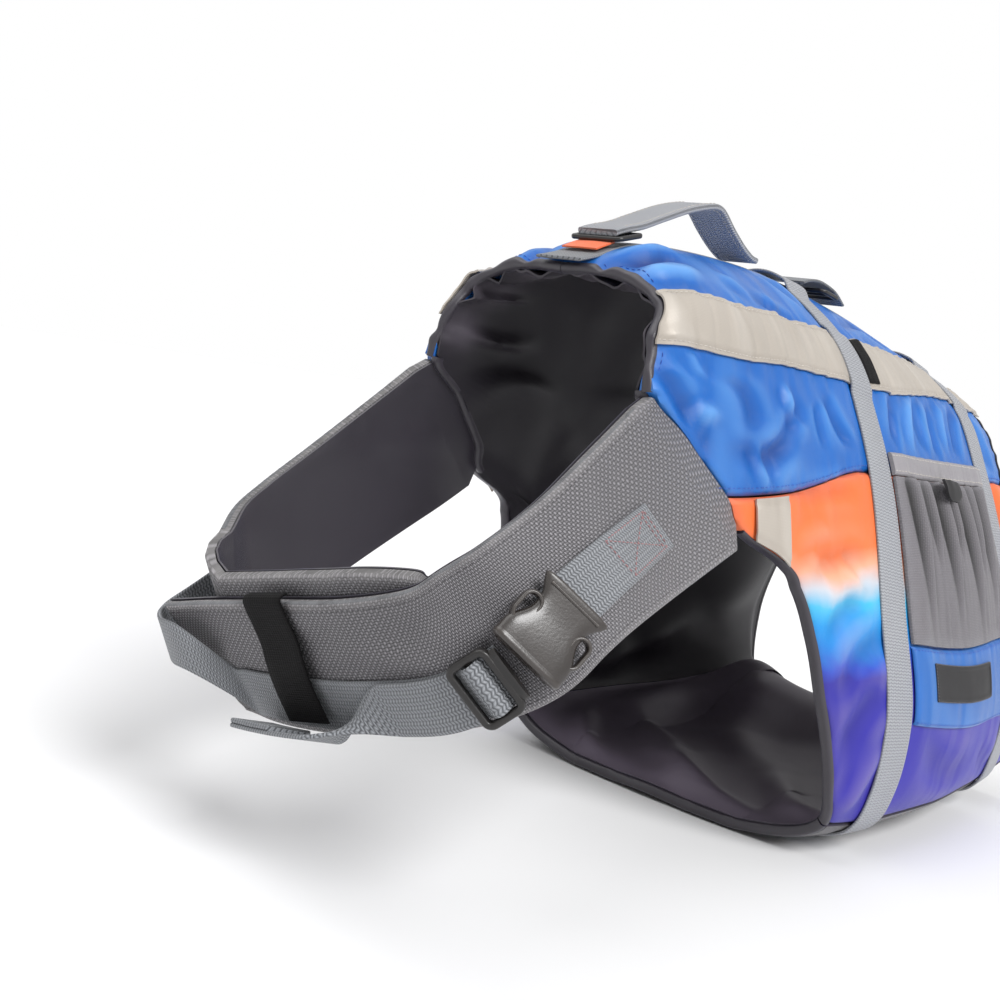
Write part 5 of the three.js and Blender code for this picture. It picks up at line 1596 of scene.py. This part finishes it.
def farWebbing(s):
    width = np.linalg.norm(rowsPoint(farRows, s, 0.0) - rowsPoint(farRows, s, 1.0), axis=-1)
    return np.stack([farFace(s, 0.6 + k * webbing["width"] / 2 / width, 1.4 + 0 * s) for k in (-1, 1)], -2)


nearPart, farPart = bandRow(np.linspace(4.45, 8, 14), 1.2), farWebbing(np.linspace(3.6, 1.2, 10))
longRows = np.concatenate([nearPart, turnRows, farPart])
webbingPiece("webbing_long", alongPath(longRows, 300), "neck_webbing")

# The webbing's free tail doubles back over it and ends in a folded tip.
s = np.concatenate([np.linspace(4.8, 5.6, 12), np.linspace(5.8, 7.6, 30)])
rows = bandRow(s, 3.6)
bend = smoothStep(s, 5.8, 6.7)[:, None]
inner = onBand(s, 12.5, 4.2) + [0, 0, -5] * bend
rows = np.stack([mix(rows[:, 0], inner, bend), mix(rows[:, 1], inner + [0, -25, 5], bend)], 1)
webbingPiece("webbing_tip", alongPath(rows, 150), "webbing_tail", thickness=2.0)
webbingPiece("webbing_tip_fold", alongPath(rows[-9:], 40) + [0, 0, 2.0], thickness=2.2)

# Elastic keeper over the band and both layers of webbing.
keeperLine = [(-0.05, -3), (-0.045, 0.6), (0.02, 1.6), (0.25, 2.0), (0.42, 4.2), (0.55, 5.4), (0.75, 6.0),
              (0.84, 6.0)]
path = alongPath(keeperLine, 60)
rows = np.stack([nearFace(np.full(60, 6.66) + 0.05 * path[:, 0], path[:, 0], path[:, 1]),
                 nearFace(np.full(60, 7.22) + 0.06 * path[:, 0], path[:, 0], path[:, 1])], 1)
dress(ribbonPiece("keeper_elastic", rows, 1.2, -1), "dark_binding", elasticCloth, "keeper")
print("neck webbing made")

# Side-release buckle: socket with a waist, the two springs in its sides, and the webbing bar.
buckle = {"width": 34.0, "long": 33.0, "waist": 24.0, "thick": 8.0}
spring = {"size": (13.0, 7.6), "wide": 1.9, "high": 5.4}


def buckleSections():
    half = buckle["long"] / 2
    x = np.concatenate([[-half, -half + 0.5], np.linspace(-half + 1.2, half - 3.2, 40),
                        [half - 3.0, half - 2.4, half - 1.0, half - 0.4, half]])
    share = (x + half) / buckle["long"]
    ear = bump(share, 0.13)
    waist = 1 - smoothStep(np.abs(share - 0.36), 0.05, 0.42)
    wide = buckle["width"] - (buckle["width"] - buckle["waist"]) * waist * (1 - 0.5 * ear)
    wide = wide - 1.5 * smoothStep(share, 0.9, 1)
    thick = buckle["thick"] * (0.62 + 0.42 * smoothStep(share, 0.05, 0.9) - 0.08 * bump(share - 0.4, 0.2))
    collar = smoothStep(share, 0.915, 0.93) * 0.9
    wide, thick = wide + collar, thick + collar
    ends = np.ones_like(x)
    ends[0], ends[1], ends[-2], ends[-1] = 0.78, 0.93, 0.96, 0.86
    turns = np.arange(32) * np.pi / 16
    c = np.sign(np.cos(turns)) * np.abs(np.cos(turns)) ** 0.42
    s = np.sign(np.sin(turns)) * np.abs(np.sin(turns)) ** 0.6
    ys = c[None] * (wide * ends / 2)[:, None]
    zs = np.maximum(s[None] * (thick * ends / 2)[:, None] + buckle["thick"] / 2, 0.2)
    return np.stack([np.repeat(x[:, None], 32, 1), ys, zs], -1)


def buckleSocket(name, origin, axes, node):
    parts = [sweptPiece(name + "_body", seatPoints(buckleSections(), origin, *axes), False, 45)]
    for side in (-1, 1):
        loop = roundedLoop(*spring["size"], min(spring["size"]) / 2 - 0.05, 10)
        loop = loop + [0.5, side * (buckle["waist"] / 2 + 1.2)]
        parts.append(seatedBar(f"{name}_spring{side}", loop, spring["wide"], spring["high"], True, origin,
                               axes, buckle["thick"] / 2 + 0.2))
    slot = np.stack([np.full(16, -buckle["long"] / 2 + 3.4), np.linspace(-12.6, 12.6, 16)], -1)
    parts.append(seatedBar(name + "_lip", slot, 1.4, 1.4, False, origin, axes, buckle["thick"] * 0.78))
    return dress(joinPieces(name, parts), "black_plastic", plastic, node)


def bandAxes(s, out):
    along = unit(onBand(s + 0.3, 0, out) - onBand(s - 0.3, 0, out))
    across = unit(onBand(s, 3.0, out) - onBand(s, -3.0, out))
    up = unit(np.cross(along, across))
    return onBand(s, 0, out), [along, unit(np.cross(up, along)), up]


origin, axes = bandAxes(3.2, 2.9)
buckleSocket("buckle_body", origin, axes, "buckle_socket")
origin, axes = bandAxes(4.52, 5.4)


barLook = {"wide": 31.0, "long": 20.0, "rim": 3.4}


def barFrame():
    wide, long, rim = barLook["wide"], barLook["long"], barLook["rim"]
    ring = roundedLoop(long - rim, wide - rim, 3.0)
    middle = np.stack([np.zeros(18), np.linspace(-wide / 2 + 2, wide / 2 - 2, 18)], -1)
    tongue = np.stack([np.linspace(-long / 2 - 2.5, -long / 2 + 1, 6), np.zeros(6)], -1)
    parts = [seatedBar("frame_a", ring, rim, 4.6, True, origin, axes, 2.5),
             seatedBar("frame_b", middle, 3.2, 3.2, False, origin, axes, 1.6),
             seatedBar("frame_c", tongue, 24.0, 4.2, False, origin, axes, 2.5)]
    dress(joinPieces("buckle_frame", parts), "black_plastic", framePlastic, "buckle_bar")


barFrame()

# Webbing through the bar: it comes up over the middle bar and down again.
x = np.linspace(-11, 11, 40)
z = -3.6 + 8.4 * bump(x, 5.2)
rows = np.stack([seatPoints(np.stack([x, 0 * x + k * 11.8, z], -1), origin, *axes) for k in (1, -1)], 1)
webbingPiece("webbing_in_bar", rows, thickness=1.5, turned=-1)

for name, place in straps.items():
    level = -6.1
    height = 3.0 + webbing["thick"]
    centre = bodyPoint(level, place, height)
    along = unit(bodyPoint(level + 0.2, place, height) - bodyPoint(level - 0.2, place, height))
    out = unit(centre - bodyPoint(level, place, 0.0))
    buckleSocket(f"buckle_strap_{name}", centre, [along, np.cross(out, along), out], f"strap_buckle_{name}")
print("buckles made")

# All the sewing, joined by thread colour.
for name, runs in threads.items():
    sections = np.concatenate(runs)  # stitch, ring point
    count = len(sections)
    rings = sections.reshape(count, 4, 4, 3)
    points = rings.reshape(-1, 3)
    start = np.arange(count)[:, None] * 16
    quads = []
    for ring in range(3):
        for k in range(4):
            a, b = ring * 4 + k, ring * 4 + (k + 1) % 4
            quads.append(np.concatenate([start + a, start + b, start + b + 4, start + a + 4], 1))
    quads.append(np.concatenate([start + k for k in (3, 2, 1, 0)], 1))
    quads.append(np.concatenate([start + k for k in (12, 13, 14, 15)], 1))
    piece = makePiece(f"sewing_{name}", points, np.concatenate(quads).tolist(), sharp=80)
    dress(piece, "webbing" if name == "grey" else "dark_binding", threadMaterials[name])

print("sewing made")

# Camera: low, in front of the dog's left shoulder, turned clockwise by nine degrees.
view = {"heading": 42.0, "down": 6.0, "roll": 9.0, "place": (0.4427, -0.7631, 0.2399), "lens": 49.86}


def makeCamera():
    data = bpy.data.cameras.new("camera")
    data.lens, data.sensor_width = view["lens"], 36.0
    data.clip_start, data.clip_end = 0.01, 60.0
    camera = bpy.data.objects.new("camera", data)
    scene.collection.objects.link(camera)
    h, d, r = (math.radians(view[k]) for k in ("heading", "down", "roll"))
    ahead = np.array([-math.sin(h) * math.cos(d), math.cos(h) * math.cos(d), -math.sin(d)])
    right = np.array([math.cos(h), math.sin(h), 0])
    up = np.cross(right, ahead)
    right, up = right * math.cos(r) + up * math.sin(r), up * math.cos(r) - right * math.sin(r)
    matrix = np.eye(4)
    matrix[:3, 0], matrix[:3, 1], matrix[:3, 2], matrix[:3, 3] = right, up, -ahead, view["place"]
    camera.matrix_world = Matrix(matrix.tolist())
    scene.camera = camera


makeCamera()

# Pale floor and soft studio light.
turns = np.linspace(0, 2 * np.pi, 49)[:-1]
mesh = bpy.data.meshes.new("floor")
mesh.from_pydata([(6 * math.cos(t), 6 * math.sin(t), -0.0004) for t in turns], [], [list(range(48))])
floor = bpy.data.objects.new("floor", mesh)
scene.collection.objects.link(floor)
material, tree, surface = startMaterial({"name": "paper", "shader": {"Roughness": 0.9}})
place = put(tree, "ShaderNodeTexCoord").outputs["Object"]
grain = put(tree, "ShaderNodeTexNoise", {"Vector": place, "Scale": 4.0})
tone = shade(tree, grain.outputs[0], paint(244, 244, 246), paint(248, 248, 248))
feed(tree, surface.inputs["Base Color"], tone)
mesh.materials.append(material)

# The studio walls are white to the eye and give a weaker light of their own.
studio = {"seen": 1.0, "gloss": 0.7, "given": 0.28}
world = bpy.data.worlds.new("studio")
world.use_nodes = True
tree = world.node_tree
tree.nodes.clear()
path = put(tree, "ShaderNodeLightPath").outputs
mirrored = calc(tree, "MULTIPLY", path["Is Glossy Ray"], studio["gloss"])
shown = calc(tree, "MAXIMUM", path["Is Camera Ray"], mirrored)
strength = calc(tree, "MULTIPLY_ADD", shown, studio["seen"] - studio["given"], studio["given"])
walls = put(tree, "ShaderNodeBackground", {"Color": (1.0, 1.0, 1.0, 1.0), "Strength": strength})
feed(tree, put(tree, "ShaderNodeOutputWorld").inputs["Surface"], walls.outputs[0])
scene.world = world
scene.view_settings.view_transform = "Standard"
lamps = {
    # where the light comes from, how wide it is in degrees, and its strength
    "key": ((1.0, -0.2, 0.85), 28, 2.8),
    "top": ((-0.3, -0.3, 1.0), 60, 1.3),
}


def makeLamp(name, source, wide, strength):
    data = bpy.data.lights.new(name, "SUN")
    data.angle, data.energy = math.radians(wide), strength
    lamp = bpy.data.objects.new(name, data)
    scene.collection.objects.link(lamp)
    back = unit(np.array(source, float))
    side = unit(np.cross([0, 0, 1.0], back))
    matrix = np.eye(4)
    matrix[:3, 0], matrix[:3, 1], matrix[:3, 2], matrix[:3, 3] = side, np.cross(back, side), back, back * 2
    lamp.matrix_world = Matrix(matrix.tolist())


for name, settings in lamps.items():
    makeLamp(name, *settings)

print("scene made")
